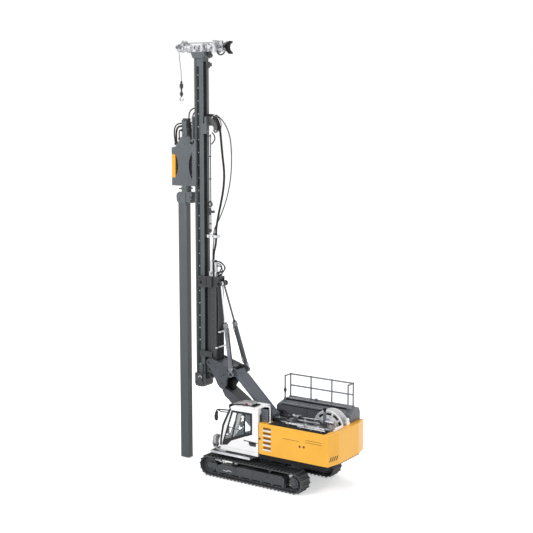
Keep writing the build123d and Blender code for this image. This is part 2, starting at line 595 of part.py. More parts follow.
def mast():
    """Mast box with its front flange and rear rail, foot block and masthead."""
    box = block((mast_rear, mast_front - flange_depth), (-mast_half, mast_half), (mast_bottom, mast_top))
    box += block((mast_front - flange_depth, mast_front), (-flange_half, flange_half), (mast_bottom, mast_top))
    box += block((mast_rear - rear_rail_depth, mast_rear), (-rear_rail_half, rear_rail_half),
                 (mast_bottom + 12, mast_top - 9.4))
    box -= block(groove, (mast_half - 0.5, mast_half + 1), (mast_bottom - 1, mast_top - 8))
    box -= block(groove, (-mast_half - 1, 0.5 - mast_half), (mast_bottom - 1, mast_top - 8))
    cap = outline([(mast_rear - 2.5, arm_z[0]), (mast_rear - 2.5, mast_top + 1.2), (mast_rear - 0.5, mast_top - 1),
                   (mast_front + 1.0, mast_top - 1), (mast_front + 3.5, arm_z[0])])
    parts["mast"] = box + upright(cap, (-5.8, 5.8))
    rail_x = mast_rear - rear_rail_depth
    fittings = [bar((rail_x, 0, mast_top - 9.4), (rail_x, 0, mast_top - 4.2), 2.1)
                + block((rail_x - 3.8, rail_x), (-1.0, 1.0), (mast_top - 8.2, mast_top - 5.2))]
    fittings.append(cross_pin(rail_x - 2.6, mast_top + 1.2, (-1.4, 1.4), 2.0)
                    + block((rail_x - 2.6, mast_rear - 2.5), (-1.4, 1.4), (mast_top + 1.6, mast_top + 3.6)))
    fittings.append(block((rail_x - 6, rail_x), (-1.0, 1.0), (228.8, 231.0)) + block((rail_x - 2, rail_x), (-1.0, 1.0), (227, 233)))
    half_ring = Circle(2.4) - Circle(1.4)
    half_ring = Pos(rail_x - 1.8, 236.4) * half_ring & Pos(rail_x - 5, 236.4) * Rectangle(10, 10)
    fittings.append(upright(half_ring, (-0.5, 0.5)))
    fittings.append(block((rail_x - 2.4, rail_x), (-1.2, 1.2), (211.6, 214.4)))
    parts["mast_fittings"] = Compound([piece.solid() for piece in fittings])
    foot = outline([(mast_rear - 1.6, mast_bottom + 11), (mast_rear - 1.6, mast_bottom + 1.5), (mast_rear, mast_bottom - 0.5),
                    (mast_rear + 3, mast_bottom - 1), (mast_front - 3, mast_bottom - 1), (mast_front + 0.5, mast_bottom - 0.5),
                    (mast_front + 1.4, mast_bottom + 2), (mast_front + 1.4, mast_bottom + 11)])
    foot = upright(foot, (-flange_half - 0.6, flange_half + 0.6))
    foot -= block((mast_rear, mast_front - flange_depth), (-mast_half, mast_half), (mast_bottom, mast_bottom + 20))
    foot -= block((mast_front - flange_depth, mast_front), (-flange_half, flange_half), (mast_bottom, mast_bottom + 20))
    foot += cross_pin(mast_rear - 3.6, mast_bottom + 8.4, (-3.2, 3.2), 2.3) \
        + block((mast_rear - 4.5, mast_rear - 1), (-2, 2), (mast_bottom + 6, mast_bottom + 10))
    foot += cross_pin(mast_rear - 4.1, mast_bottom + 13.2, (-2.6, 2.6), 1.5) \
        + block((mast_rear - 4.9, mast_rear - 3.3), (-1.2, 1.2), (mast_bottom + 8, mast_bottom + 12.8))
    parts["mast_foot"] = foot
    arm = block(head_arm_x, (-head_arm_half, head_arm_half), arm_z)
    arm += block((head_arm_x[1] - 4.6, head_arm_x[1]), (-head_arm_half - 0.5, head_arm_half + 0.5), (arm_z[0] - 0.6, arm_z[1] - 1))
    arm += block((62.4, 69.6), (head_arm_half - 2.4, head_arm_half), (arm_z[1], arm_z[1] + 1.0))
    for x, z0, z1 in ((77.3, 372.0, 373.0), (66.6, 371.2, 374.2)):
        hole = upright(Pos(x, (z0 + z1) / 2 - 365 + mast_top) * Rot(0, 0, 90) * SlotCenterToCenter(z1 - z0, 1.5),
                       (head_arm_half - 1.2, head_arm_half + 1))
        arm -= hole
    x, z = rear_sheave
    cheek = outline([(head_arm_x[0] + 1, arm_z[1]), (x + 8.0, z + 3.4), (x + 7.4, z + 5.8), (x + 6.2, z + 5.8), (x + 5.6, z + 3.8),
                     (x + 4.6, z + 5.6), (x + 3.0, z + 5.4), (x + 2.2, z + 3.8), (x - 1.0, z + 4.0), (x - 2.4, z + 5.2),
                     (x - 3.6, z + 4.8), (x - 3.0, z + 2.6), (x - 4.0, z), (x - 3.0, z - 3.2), (x, z - 4.0), (x + 4.4, z - 3.6),
                     (x + 5.8, z - 5.4), (x + 7.2, z - 4.8), (x + 7.4, z - 3.6), (head_arm_x[0] + 1, arm_z[0])])
    arm += upright(cheek, (-head_arm_half, -head_arm_half + 1.4)) + upright(cheek, (head_arm_half - 1.4, head_arm_half))
    arm += cross_pin(x, z, (-head_arm_half - 0.6, head_arm_half + 0.6), 1.0)
    fork = (front_sheave_y - 3.0, front_sheave_y + 3.0)
    arm += block((head_arm_x[1] - 6, head_arm_x[1] + 7), (fork[0], head_arm_half - 1), (arm_z[0] + 0.6, arm_z[1] - 0.4))
    x, z = front_sheave
    lug = outline([(x - 9, z + 0.6), (x - 8.6, z + 2.4), (x - 4.6, z + 3.2), (x - 3.6, z + 5.6), (x - 2.2, z + 6.2),
                   (x - 1.0, z + 5.2), (x - 1.4, z + 3.4), (x + 2.4, z + 2.8), (crown_front - 0.4, z + 1.4),
                   (crown_front, z - 0.4), (x + 3.6, z - 1.8), (x + 2.8, z - 3.6), (x + 1, z - 4.4), (x - 3.0, z - 3.6),
                   (x - 9, z - 4.2)])
    for y in ((fork[0], fork[0] + 1.2), (fork[1] - 1.2, fork[1])):
        arm += upright(lug, y)
    arm += cross_pin(x, z, (fork[0] - 0.6, fork[1] + 0.6), 1.0)
    parts["masthead"] = arm
    for name, (x, z), y in (("sheave_front", front_sheave, front_sheave_y), ("sheave_rear", rear_sheave, 0.0)):
        side = make_face(Polyline((0, -1.2), (sheave_radius, -1.2), (sheave_radius, -0.9), (sheave_radius - 0.8, -0.2),
                                  (sheave_radius - 0.8, 0.2), (sheave_radius, 0.9), (sheave_radius, 1.2), (0, 1.2),
                                  close=True))
        wheel = Pos(x, y, z) * revolve(side, Axis.Y)
        parts[name] = wheel - cross_pin(x, z, (y - 2, y + 2), 1.0 + pin_gap)


def drive():
    """Sledge, drive unit, clamp and the pile."""
    z = (drive_z[0] + 1, drive_z[1] + 4)
    front = mast_front + gap
    half = flange_half + gap + 1.4
    sledge = block((front, drive_x - drive_half_length + 0.4), (-half, half), z)
    lip = block((mast_front - flange_depth - gap - lip_depth, front), (mast_half + gap, half), z)
    lip -= block((mast_front - flange_depth - gap, front), (mast_half, flange_half + gap), (z[0] - 1, z[1] + 1))
    sledge += lip + mirrored(lip)
    eye = cross_pin(*eye_hole, (flange_half + gap, half + 0.4), 2.8) \
        + block((eye_hole[0], front + 1.1), (flange_half + gap, half), (z[1] - 2, eye_hole[1] + 2.6))
    sledge += eye + mirrored(eye)
    sledge -= cross_pin(*eye_hole, (-9, 9), 1.3)
    top = (saddle_centre[1] + 4.0, saddle_centre[1] + saddle_radius)
    side = (-half - 1.2, -half)
    behind = mast_rear - rear_rail_depth - gap
    sledge += block((front, front + 1.2), (side[0], half), (z[1], top[1]))
    sledge += block((behind - 2.0, front), side, top)
    sledge += block((behind - 2.0, behind), (side[0], mast_half + gap + 1.4), top)
    sledge += block((behind - 2.0, mast_rear + 1), (mast_half + gap, mast_half + gap + 1.4), (298.6, top[0] + 2))
    sledge += Pos(behind - 3.0, mast_half + gap + 0.7, 300.6) * Sphere(1.2) \
        + bar((behind - 3.0, mast_half + gap + 0.7, 300.6), (behind, mast_half + gap + 0.7, 300.6), 0.6)
    parts["sledge"] = sledge
    centre_x, centre_z = saddle_centre
    ring = Circle(saddle_radius) - Circle(saddle_radius - saddle_depth)
    quarter = ring & (Pos(-saddle_radius / 2, saddle_radius / 2) * Rectangle(saddle_radius, saddle_radius))
    saddle = upright(Pos(centre_x, centre_z) * quarter, (-3.0, 3.0))
    parts["hose_saddle"] = saddle - block((behind - 2.0, 90), (-9, 9),
                                            (centre_z - 1, centre_z + saddle_radius + 1))
    low, high = drive_z
    x0, x1 = drive_x - drive_half_length, drive_x + drive_half_length
    sides = outline([(x0 + 0.5, low), (x1, low), (x1, high), (x1 - 4.6, high + 1.0), (x1 - 10.5, drive_shoulder + 5),
                     (x0 + 5.0, drive_shoulder + 5), (x0 + 4.4, high + 6.0), (x0 + 0.5, high + 5.4)])
    unit = upright(sides, (-drive_half, drive_half))
    notch = block((x1 - 4.8, x1 + 1), (-drive_half - 1, drive_half + 1), (259, 280))
    for (x, top_z), y in ((front_loop[-1], thin_y), (inner_loop[-1], main_y)):
        unit += bar((x, y, high - 2), (x, y, top_z), 0.9)
    column = [(column_x - column_half, drive_shoulder + 4), (column_x + column_half, drive_shoulder + 4)]
    for side in (1.0, 0.35, -0.35, -1.0):
        column += [(column_x + (side + 0.05) * column_half, column_top + tooth_height * (0.9 + 0.1 * abs(side))),
                   (column_x + (side - 0.25) * column_half, column_top + tooth_height * 0.9),
                   (column_x + (side - 0.35) * column_half, column_top)]
    column = column[:-2]
    unit += upright(outline(column), (-3, 3))
    unit += block((column_x - column_half - 2.6, column_x - column_half + 1), (-2.2, 2.4), (drive_shoulder + 4, 303.5))
    unit += block((column_x - column_half - 2.0, column_x - column_half + 1), (-1.6, 1.8), (303, 306.5))
    front_cut = Pos(x1 - 7.2 + 18.5, slot_middle) * Circle(18.5) & Pos(x1 - 4.5, slot_middle) * Rectangle(6, 21)
    rear_cut = Pos(85.2 - 21.4, slot_middle) * Circle(21.4) & Pos(84.0, slot_middle) * Rectangle(6.2, 40)
    for face in (front_cut, rear_cut):
        unit -= upright(face, (drive_half - 1.4, drive_half + 1)) + upright(face, (-drive_half - 1, 1.4 - drive_half))
    parts["drive_unit"] = unit - notch
    parts["drive_block"] = block((x1 - 4.0, x1), (-drive_half, drive_half), (259.0, 280.0))
    x = pile_x - 2.6
    ring = Cylinder(4.9, 1.4)
    neck = Pos(x, 0, (neck_bottom + low) / 2) * (Cylinder(4.4, low - neck_bottom) + Pos(0, 0, 0.6) * ring)
    half_x = pile_depth / 2
    front, rear = pile_x + half_x, pile_x - half_x
    jaw = outline([(rear + 0.4, neck_bottom), (front - 1.4, neck_bottom), (front + 0.8, neck_bottom - 1.6),
                   (front + 1.2, neck_bottom - 4), (front + 0.8, neck_bottom - 8), (front - 1, neck_bottom - 10.2),
                   (rear + 0.4, neck_bottom - 10.2)])
    teeth = outline([(rear + 0.4, neck_bottom), (rear - 6.2, neck_bottom), (rear - 6.6, neck_bottom - 3.4),
                     (rear - 5.4, neck_bottom - 4.2), (rear - 6.2, neck_bottom - 6.6), (rear - 4.6, neck_bottom - 7.2),
                     (rear - 5.2, neck_bottom - 9.6), (rear - 3.6, neck_bottom - 10), (rear + 0.4, neck_bottom - 8)])
    jaws = upright(jaw, (-4.2, 4.2)) + upright(teeth, (-3.6, 3.6))
    jaws -= block((rear, front), (-pile_width / 2, pile_width / 2), (0, pile_top))
    parts["clamp"] = neck + jaws
    parts["pile"] = block((pile_x - half_x, pile_x + half_x), (-pile_width / 2, pile_width / 2),
                          (pile_foot, pile_top))


def cords():
    """Rope with its hook, and the hoses."""
    y = front_sheave_y
    x = front_sheave[0] + sheave_radius + 0.1
    top_z = front_sheave[1]
    hook_x = x - 2.4
    parts["rope"] = hose([(x, y, top_z), (x - 0.2, y, top_z - 7), (x - 1.5, y, top_z - 16),
                          (hook_x, y, top_z - 23), (hook_x, y, hook_top)], rope_radius)
    # half width, distance below the rope's end
    turned = [(0.35, 0), (0.9, 0.5), (1.1, 1.1), (0.8, 1.8), (1.0, 2.2), (1.7, 3.0), (1.7, 5.6), (1.2, 6.6), (0.7, 7.2),
              (0.7, 9.6), (1.5, 10.4), (1.5, 12.6), (0.6, 13.6)]
    swivel = make_face(Polyline((0, 0), *[(r, -down) for r, down in turned], (0, -turned[-1][1]), close=True))
    bend = Line((0, -13.2), (0, -14.4)) + CenterArc((0, -16.2), 1.8, 90, -270)
    hook = sweep(Plane(origin=(0, -13.2, 0), z_dir=(0, -1, 0)) * RegularPolygon(0.55, 8), path=bend)
    hook = revolve(swivel, Axis.Y) + hook
    parts["hook_block"] = Pos(hook_x, y, hook_top) * Rot(90, 0, 0) * hook
    for name, route, y, radius in (("main_hose_upper", main_upper, main_y, main_radius),
                                   ("main_hose_lower", main_lower, main_y, main_radius),
                                   ("thin_hose_upper", thin_upper, thin_y, thin_radius),
                                   ("thin_hose_lower", thin_lower, thin_y, thin_radius)):
        parts[name] = hose([(px, y, pz) for px, pz in route], radius)
    loops = [hose([(px, y, pz) for px, pz in route], thin_radius, 8)
             for route, y in ((front_loop, thin_y), (inner_loop, main_y))]
    loops += [hose(route, thin_radius, 8) for route in (rear_arc, side_arc)]
    parts["drive_hoses"] = Compound([loop.solid() for loop in loops])
    parts["hose_clip"] = block((56.0, mast_rear - rear_rail_depth), (-3.0, 3.0), clip_z)


def fittings():
    """Small outside parts of the cab and the masthead."""
    post = cab_roof_front + (brow_z - 61.5) * (cab_nose + 0.6 - cab_roof_front) / (brow_z - cab_floor - 4)
    stalk = bar((post - 2, cab_left - 1, 61.6), (37.0, cab_left - 1, 59.2), 0.45)
    stalk += bar((post - 1, cab_left - 1, 59.6), (34.0, cab_left - 1, 57.8), 0.4)
    stalk += bar((34.0, cab_left - 1, 57.8), (34.0, cab_left - 1, 59.8), 0.4)
    stalk += block((36.0, 37.8), (cab_left - 2.4, cab_left + 1.0), (50.6, 59.4))
    parts["mirror"] = stalk - upright(outline(cab_side), (cab_right, cab_left))
    lamp = fillet(block((38.0, 41.0), (22.2, 30.0), (28.4, 36.6)).edges().filter_by(Axis.X), 2.4)
    parts["work_lamp"] = lamp + block((39.0, 40.0), (25.6, 26.6), (step_z[1], 29.0))
    x, z = rear_sheave
    bent = outline([(x - 9.8, z + 4.0), (x - 8.4, z + 4.6), (x - 5.8, z + 2.7), (x - 4.6, z), (x - 5.8, z - 3.0),
                    (x - 8.6, z - 6.2), (x - 10.0, z - 5.6), (x - 7.6, z - 2.6), (x - 6.8, z), (x - 7.6, z + 2.2)])
    hanger = upright(bent, (-head_arm_half + 0.2, head_arm_half - 0.2))
    hanger += block((x - 6.0, x - 3.2), (-head_arm_half + 0.1, head_arm_half - 0.1), (z - 1.0, z + 1.0))
    parts["rear_hanger"] = hanger - cross_pin(x, z, (-9, 9), sheave_radius + gap)
    handrail = bar((-16.4, 24.5, house_top), (-16.4, 24.5, 69.6), 0.5) + bar((-16.4, 24.5, 69.6), (-8.8, 24.5, 69.6), 0.5)
    handrail += bar((-8.8, 24.5, 69.6), (-8.8, 24.5, 67.0), 0.5)
    parts["rear_handrail"] = handrail


undercarriage()
deck()
house()
machinery()
cab()
linkage()
carrier()
mast()
drive()
cords()
fittings()

os.makedirs("parts", exist_ok=True)
for name, shape in parts.items():
    shape = Pos(slew_x, 0, 0) * shape
    export_step(shape, "parts/" + name + ".step")
print(len(parts), "nodes, slewing axis at x", slew_x)
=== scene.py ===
"""Looks of a 1:50 die-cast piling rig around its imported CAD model, in metres.

Places are written as in the part's source: millimetres from the slewing axis, turned into the
shared frame by spot().
"""
import math

import bmesh
import bpy
from mathutils import Matrix, Vector


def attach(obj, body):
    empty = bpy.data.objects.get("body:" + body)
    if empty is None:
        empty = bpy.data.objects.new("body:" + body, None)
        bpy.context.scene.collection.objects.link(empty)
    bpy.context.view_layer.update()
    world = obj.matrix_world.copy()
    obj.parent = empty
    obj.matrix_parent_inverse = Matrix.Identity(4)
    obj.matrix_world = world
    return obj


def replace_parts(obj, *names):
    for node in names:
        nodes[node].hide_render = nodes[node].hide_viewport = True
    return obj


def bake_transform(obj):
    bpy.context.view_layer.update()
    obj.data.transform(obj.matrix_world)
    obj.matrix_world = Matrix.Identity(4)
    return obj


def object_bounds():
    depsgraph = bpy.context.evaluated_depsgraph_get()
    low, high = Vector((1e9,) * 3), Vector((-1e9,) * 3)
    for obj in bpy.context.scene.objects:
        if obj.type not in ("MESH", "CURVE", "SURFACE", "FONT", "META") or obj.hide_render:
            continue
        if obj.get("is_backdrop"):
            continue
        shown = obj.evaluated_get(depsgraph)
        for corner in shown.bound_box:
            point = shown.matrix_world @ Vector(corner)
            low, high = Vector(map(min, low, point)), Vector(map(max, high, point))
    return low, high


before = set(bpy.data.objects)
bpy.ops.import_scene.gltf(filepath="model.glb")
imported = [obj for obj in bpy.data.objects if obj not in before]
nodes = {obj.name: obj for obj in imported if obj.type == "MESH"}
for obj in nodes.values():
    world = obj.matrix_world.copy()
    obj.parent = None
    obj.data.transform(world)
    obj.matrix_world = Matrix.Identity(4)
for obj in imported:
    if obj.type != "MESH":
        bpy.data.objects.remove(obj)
cad_low, cad_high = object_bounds()

SLEW_X = -13.3


def spot(x, y, z):
    """A place in millimetres from the slewing axis, as a point of the shared frame in metres."""
    return Vector(((x + SLEW_X) / 1000, y / 1000, z / 1000))


def place(p):
    return spot(*p)


# Camera

camera = bpy.data.objects.new("camera", bpy.data.cameras.new("camera"))
bpy.context.scene.collection.objects.link(camera)
camera.data.sensor_width = 36.0
camera.data.lens = 75.03
camera.location = spot(-524.75, 788.30, 318.75)
aim = spot(4.44, 0.0, 185.44)
camera.rotation_mode = "QUATERNION"
camera.rotation_quaternion = (aim - camera.location).to_track_quat("-Z", "Y")
camera.data.clip_start, camera.data.clip_end = 0.02, 20.0
bpy.context.scene.camera = camera


# Materials

def linear(value):
    return value / 12.92 if value <= 0.04045 else ((value + 0.055) / 1.055) ** 2.4


def colour(code):
    """Linear colour from a hex code as it should look."""
    return tuple(linear(int(code[i:i + 2], 16) / 255) for i in (0, 2, 4)) + (1.0,)


def finish(name, base, other, rough, metal=0.0, grain=900.0, cloud=60.0, depth=0.00002, speck=None,
           coat=0.0, brushed=None, spread=0.12, edge=None, low=None, shine=0.5):
    """A surface of two mixed colours, with grain in its bump, uneven gloss, lighter edges that are partly wear
    and partly painted highlight, and an optional painted shade that darkens it towards the floor.
    """
    material = bpy.data.materials.new(name)
    material.use_nodes = True
    tree = material.node_tree
    shader = tree.nodes["Principled BSDF"]
    links = tree.links.new
    where = tree.nodes.new("ShaderNodeTexCoord").outputs["Object"]
    source = where
    if brushed:
        stretch = tree.nodes.new("ShaderNodeMapping")
        stretch.inputs["Scale"].default_value = brushed
        links(where, stretch.inputs["Vector"])
        source = stretch.outputs["Vector"]

    def noise(scale, detail, vector):
        node = tree.nodes.new("ShaderNodeTexNoise")
        node.inputs["Scale"].default_value = scale
        node.inputs["Detail"].default_value = detail
        links(vector, node.inputs["Vector"])
        return node.outputs["Fac"]

    def ramp(value, low, high, first, last):
        node = tree.nodes.new("ShaderNodeValToRGB")
        node.color_ramp.elements[0].position = low
        node.color_ramp.elements[1].position = high
        node.color_ramp.elements[0].color = first
        node.color_ramp.elements[1].color = last
        links(value, node.inputs["Fac"])
        return node.outputs["Color"]

    def blended(factor, first, code):
        mix = tree.nodes.new("ShaderNodeMix")
        mix.data_type = "RGBA"
        links(factor, mix.inputs["Factor"])
        links(first, mix.inputs["A"])
        mix.inputs["B"].default_value = colour(code)
        return mix.outputs["Result"]

    black, white = (0, 0, 0, 1), (1, 1, 1, 1)
    cloudy = noise(cloud, 4.0, source)
    tint = ramp(cloudy, 0.35, 0.68, colour(base), colour(other))
    if speck:
        fleck_colour, amount = speck
        flecks = ramp(noise(grain * 0.8, 2.0, where), 1 - amount, 1 - amount + 0.03, black, white)
        tint = blended(flecks, tint, fleck_colour)
    # Lighter edges: partly wear, partly a painted highlight on the rounded edges.
    if edge:
        rounding = tree.nodes.new("ShaderNodeBevel")
        rounding.samples = 4
        rounding.inputs["Radius"].default_value = 0.0004
        flat = tree.nodes.new("ShaderNodeVectorMath")
        flat.operation = "DOT_PRODUCT"
        links(rounding.outputs["Normal"], flat.inputs[0])
        links(tree.nodes.new("ShaderNodeNewGeometry").outputs["Normal"], flat.inputs[1])
        tint = blended(ramp(flat.outputs["Value"], 0.90, 0.995, (0.55, 0.55, 0.55, 1), black), tint, edge)
    # Painted shade: the colour darkens towards the floor, where less light falls, down to the low colour.
    if low:
        height = tree.nodes.new("ShaderNodeSeparateXYZ")
        links(tree.nodes.new("ShaderNodeNewGeometry").outputs["Position"], height.inputs[0])
        painted_shade_falloff = ramp(height.outputs["Z"], 0.06, 0.28, (0.85, 0.85, 0.85, 1), black)
        tint = blended(painted_shade_falloff, tint, low)
    links(tint, shader.inputs["Base Color"])
    fine = noise(grain, 3.0, source)
    least, most = max(rough - spread / 2, 0.03), min(rough + spread / 2, 1.0)
    gloss = ramp(cloudy, 0.3, 0.7, (least, least, least, 1), (most, most, most, 1))
    links(gloss, shader.inputs["Roughness"])
    bump = tree.nodes.new("ShaderNodeBump")
    bump.inputs["Strength"].default_value = 0.35
    bump.inputs["Distance"].default_value = depth
    links(fine, bump.inputs["Height"])
    links(bump.outputs["Normal"], shader.inputs["Normal"])
    shader.inputs["Metallic"].default_value = metal
    shader.inputs["Specular IOR Level"].default_value = shine
    if coat:
        shader.inputs["Coat Weight"].default_value = coat
        shader.inputs["Coat Roughness"].default_value = 0.12
    return material


# An edge colour gives lighter edges, partly wear and partly painted highlight.
mats = {
    "yellow": finish("yellow_paint", "e8a71c", "efaf28", 0.38, coat=0.25, depth=0.000008, edge="f8c564"),
    "white": finish("white_paint", "e9e8ea", "f1f0f2", 0.32, coat=0.3, depth=0.000006),
    "grey": finish("grey_paint", "54575d", "5e6168", 0.4, speck=("757980", 0.27), edge="83878c"),
    "blue_grey": finish("blue_grey_paint", "3c4148", "464b53", 0.46, speck=("646a72", 0.26), edge="787e86"),
    "crank": finish("crank_paint", "34383e", "3e424a", 0.46, speck=("5a5f66", 0.26), edge="787e86"),
    "arm": finish("arm_paint", "494e56", "545a63", 0.46, speck=("6e747c", 0.26), edge="82888f"),
    # The mast's low colour is painted shade that darkens it towards its foot.
    "mast": finish("mast_paint", "50575a", "5a6164", 0.5, speck=("717a7c", 0.27), edge="8a9193",
                   low="383d40"),
    "drive": finish("drive_paint", "555a5e", "5e6468", 0.5, depth=0.000022, speck=("7d8387", 0.28),
                    edge="92989b"),
    "dark": finish("dark_cast", "2c2f32", "36393c", 0.5, speck=("55595d", 0.26), edge="696d71"),
    "carrier": finish("carrier_paint", "222528", "2b2e31", 0.5, speck=("42474a", 0.27), edge="6c7175"),
    "jet": finish("jet_cast", "050506", "0a0a0b", 0.6, depth=0.00001, shine=0.2),
    # Painted shade for the mast's grooves and its rear edge.
    "groove": finish("groove_painted_shade", "1c1f20", "26292a", 0.6, speck=("383c3e", 0.26), shine=0.3),
    "track": finish("track_cast", "303234", "3b3d40", 0.6, depth=0.00003, speck=("55585b", 0.3), edge="74777a"),
    "frame": finish("frame_paint", "303439", "3d4146", 0.5, speck=("62666b", 0.26), edge="767a7f"),
    # Near-black deck: its dark paint is darkened further as painted shade under the house.
    "deck": finish("deck_paint_and_painted_shade", "0c0d0e", "131416", 0.75, depth=0.00001, speck=("1d1e20", 0.25), shine=0.25),
    "black": finish("black_plastic", "101113", "18191c", 0.42, depth=0.000015, shine=0.3),
    "rubber": finish("hose_rubber", "0a0a0b", "131315", 0.45, depth=0.00001, grain=2600, shine=0.3),
    "thin_rubber": finish("thin_hose_plastic", "3a3838", "4c4949", 0.4, depth=0.00001, grain=2600),
    "silver": finish("cast_silver", "a9abb0", "d4d5d9", 0.34, metal=0.85, depth=0.00003,
                     speck=("75777c", 0.32)),
    # Painted reflections: dark and light patches, dark flecks and near-white edges stand in for the chrome's
    # reflections.
    "mottled": finish("silver_with_painted_reflections", "595b60", "dfe0e4", 0.3, metal=0.75, cloud=330.0, depth=0.00006,
                      speck=("36383b", 0.36), edge="f2f3f5"),
    "rail": finish("rail_wire", "6c7075", "83878c", 0.4, metal=0.3, depth=0.00001),
    "guard": finish("guard_wire", "a3a1a4", "bdbbbe", 0.45, metal=0.3, depth=0.00002, speck=("87868a", 0.3)),
    # Dark amber painted shade for the louvres' slots.
    "shade": finish("louvre_shade", "6e4508", "8a5a12", 0.6, depth=0.00001),
    "cast_white": finish("cast_white", "c9cacd", "e6e7e9", 0.4, depth=0.00002, speck=("9fa1a5", 0.28)),
    "steel": finish("dark_steel", "6c6e72", "8b8d92", 0.4, metal=0.7),
    "chrome": finish("bright_rod", "c9cbd0", "dddee2", 0.18, metal=1.0, depth=0.000005, grain=3000,
                     brushed=(1, 1, 0.05)),
    "dark_rod": finish("dark_rod", "4a4c50", "5c5f64", 0.3, metal=0.8, depth=0.000005, grain=3000,
                       brushed=(1, 1, 0.05)),
    "bright": finish("bright_cylinder", "54585f", "7d8188", 0.34, metal=0.4, depth=0.00001, edge="dcdde0"),
    # The pile's low colour is painted shade that darkens it towards its lower end.
    "pile": finish("pile_paint", "53575b", "5e6266", 0.44, depth=0.000015, speck=("767a7e", 0.27),
                   edge="85898c", low="3b3f42"),
    "saddle": finish("saddle_plastic", "4a4a4b", "595858", 0.6, depth=0.00004, speck=("6f6d6c", 0.3),
                     edge="8a8a8a"),
    "band": finish("carrier_band", "2f2d2d", "3e3b3a", 0.55, depth=0.00001, grain=2000, brushed=(1, 1, 0.1)),
    "tie": finish("white_tie", "e6e6e4", "f2f2f0", 0.4, depth=0.00001),
    "thread": finish("rope_thread", "8d8a88", "a8a4a1", 0.7, depth=0.00005, grain=5000),
    "red": finish("red_lamp", "5a1820", "6d1c26", 0.25, depth=0.000005),
    "roof": finish("roof_silver", "7f7a7c", "b3aeb0", 0.36, metal=0.5, cloud=200.0, speck=("6d686a", 0.3)),
}


def clear_glass():
    """Thin pale pane: mostly see-through, with a bluish tint and a gloss."""
    material = bpy.data.materials.new("clear_pane")
    material.use_nodes = True
    tree = material.node_tree
    shader = tree.nodes["Principled BSDF"]
    noise = tree.nodes.new("ShaderNodeTexNoise")
    noise.inputs["Scale"].default_value = 40.0
    where = tree.nodes.new("ShaderNodeTexCoord").outputs["Object"]
    tree.links.new(where, noise.inputs["Vector"])
    ramp = tree.nodes.new("ShaderNodeValToRGB")
    ramp.color_ramp.elements[0].color = colour("c9dde6")
    ramp.color_ramp.elements[1].color = colour("e3eff4")
    tree.links.new(noise.outputs["Fac"], ramp.inputs["Fac"])
    tree.links.new(ramp.outputs["Color"], shader.inputs["Base Color"])
    shader.inputs["Roughness"].default_value = 0.05
    shader.inputs["Alpha"].default_value = 0.08
    return material


mats["glass"] = clear_glass()

# material: edge rounding in mm, CAD nodes
dressing = {
    "yellow": (0.35, ["house_left", "house_right", "house_tail", "drive_block"]),
    "white": (0.5, ["cab_shell"]),
    "grey": (0.3, ["hood_right", "winch_stands", "rear_box"]),
    "rail": (0.0, ["railing"]),
    "deck": (0.3, ["deck_frame", "walkway"]),
    "blue_grey": (0.3, ["lower_boom", "barrel_right"]),
    "arm": (0.3, ["upper_arm"]),
    "crank": (0.3, ["bell_crank"]),
    "mast": (0.25, ["mast"]),
    "carrier": (0.25, ["carrier"]),
    "drive": (0.3, ["drive_unit", "clamp", "sledge"]),
    "dark": (0.25, ["mast_foot", "mast_fittings"]),
    "track": (0.08, ["track_left", "track_right"]),
    "frame": (0.3, ["side_frames", "car_body", "sprockets", "idlers", "rollers"]),
    "black": (0.2, ["pump", "cab_frames", "cab_seat", "mirror", "rear_hanger"]),
    "rubber": (0.0, ["carrier_hoses", "drive_hoses"]),
    "silver": (0.15, ["side_step"]),
    "steel": (0.15, ["pipes"]),
    "guard": (0.3, ["work_lamp"]),
    "mottled": (0.15, ["masthead", "sheave_front", "sheave_rear", "hose_manifold"]),
    "cast_white": (0.1, ["rear_handrail", "carrier_clips", "winch_drum", "hose_clip"]),
    "dark_rod": (0.0, ["rod_right", "hook_block"]),
    "chrome": (0.0, ["rod_left"]),
    "bright": (0.1, ["barrel_left"]),
    "pile": (0.2, ["pile"]),
    "saddle": (0.3, ["hose_saddle"]),
    "thread": (0.0, ["rope"]),
    "roof": (0.6, ["roof_guard"]),
    "glass": (0.0, ["cab_glass"]),
}


# Edges that turn further than this are rounded, and stay sharp in smooth shading.
SHARP = math.radians(35)


def round_edges(piece, width_mm):
    bevel = piece.modifiers.new("bevel", "BEVEL")
    bevel.width = width_mm / 1000
    bevel.segments = 2
    bevel.limit_method = "ANGLE"
    bevel.angle_limit = SHARP


for key, (width, names) in dressing.items():
    for name in names:
        piece = nodes[name]
        piece.data.materials.clear()
        piece.data.materials.append(mats[key])
        if width:
            weld = piece.modifiers.new("weld", "WELD")
            weld.merge_threshold = 0.00001
            round_edges(piece, width)


# Small solids, joined into one piece each

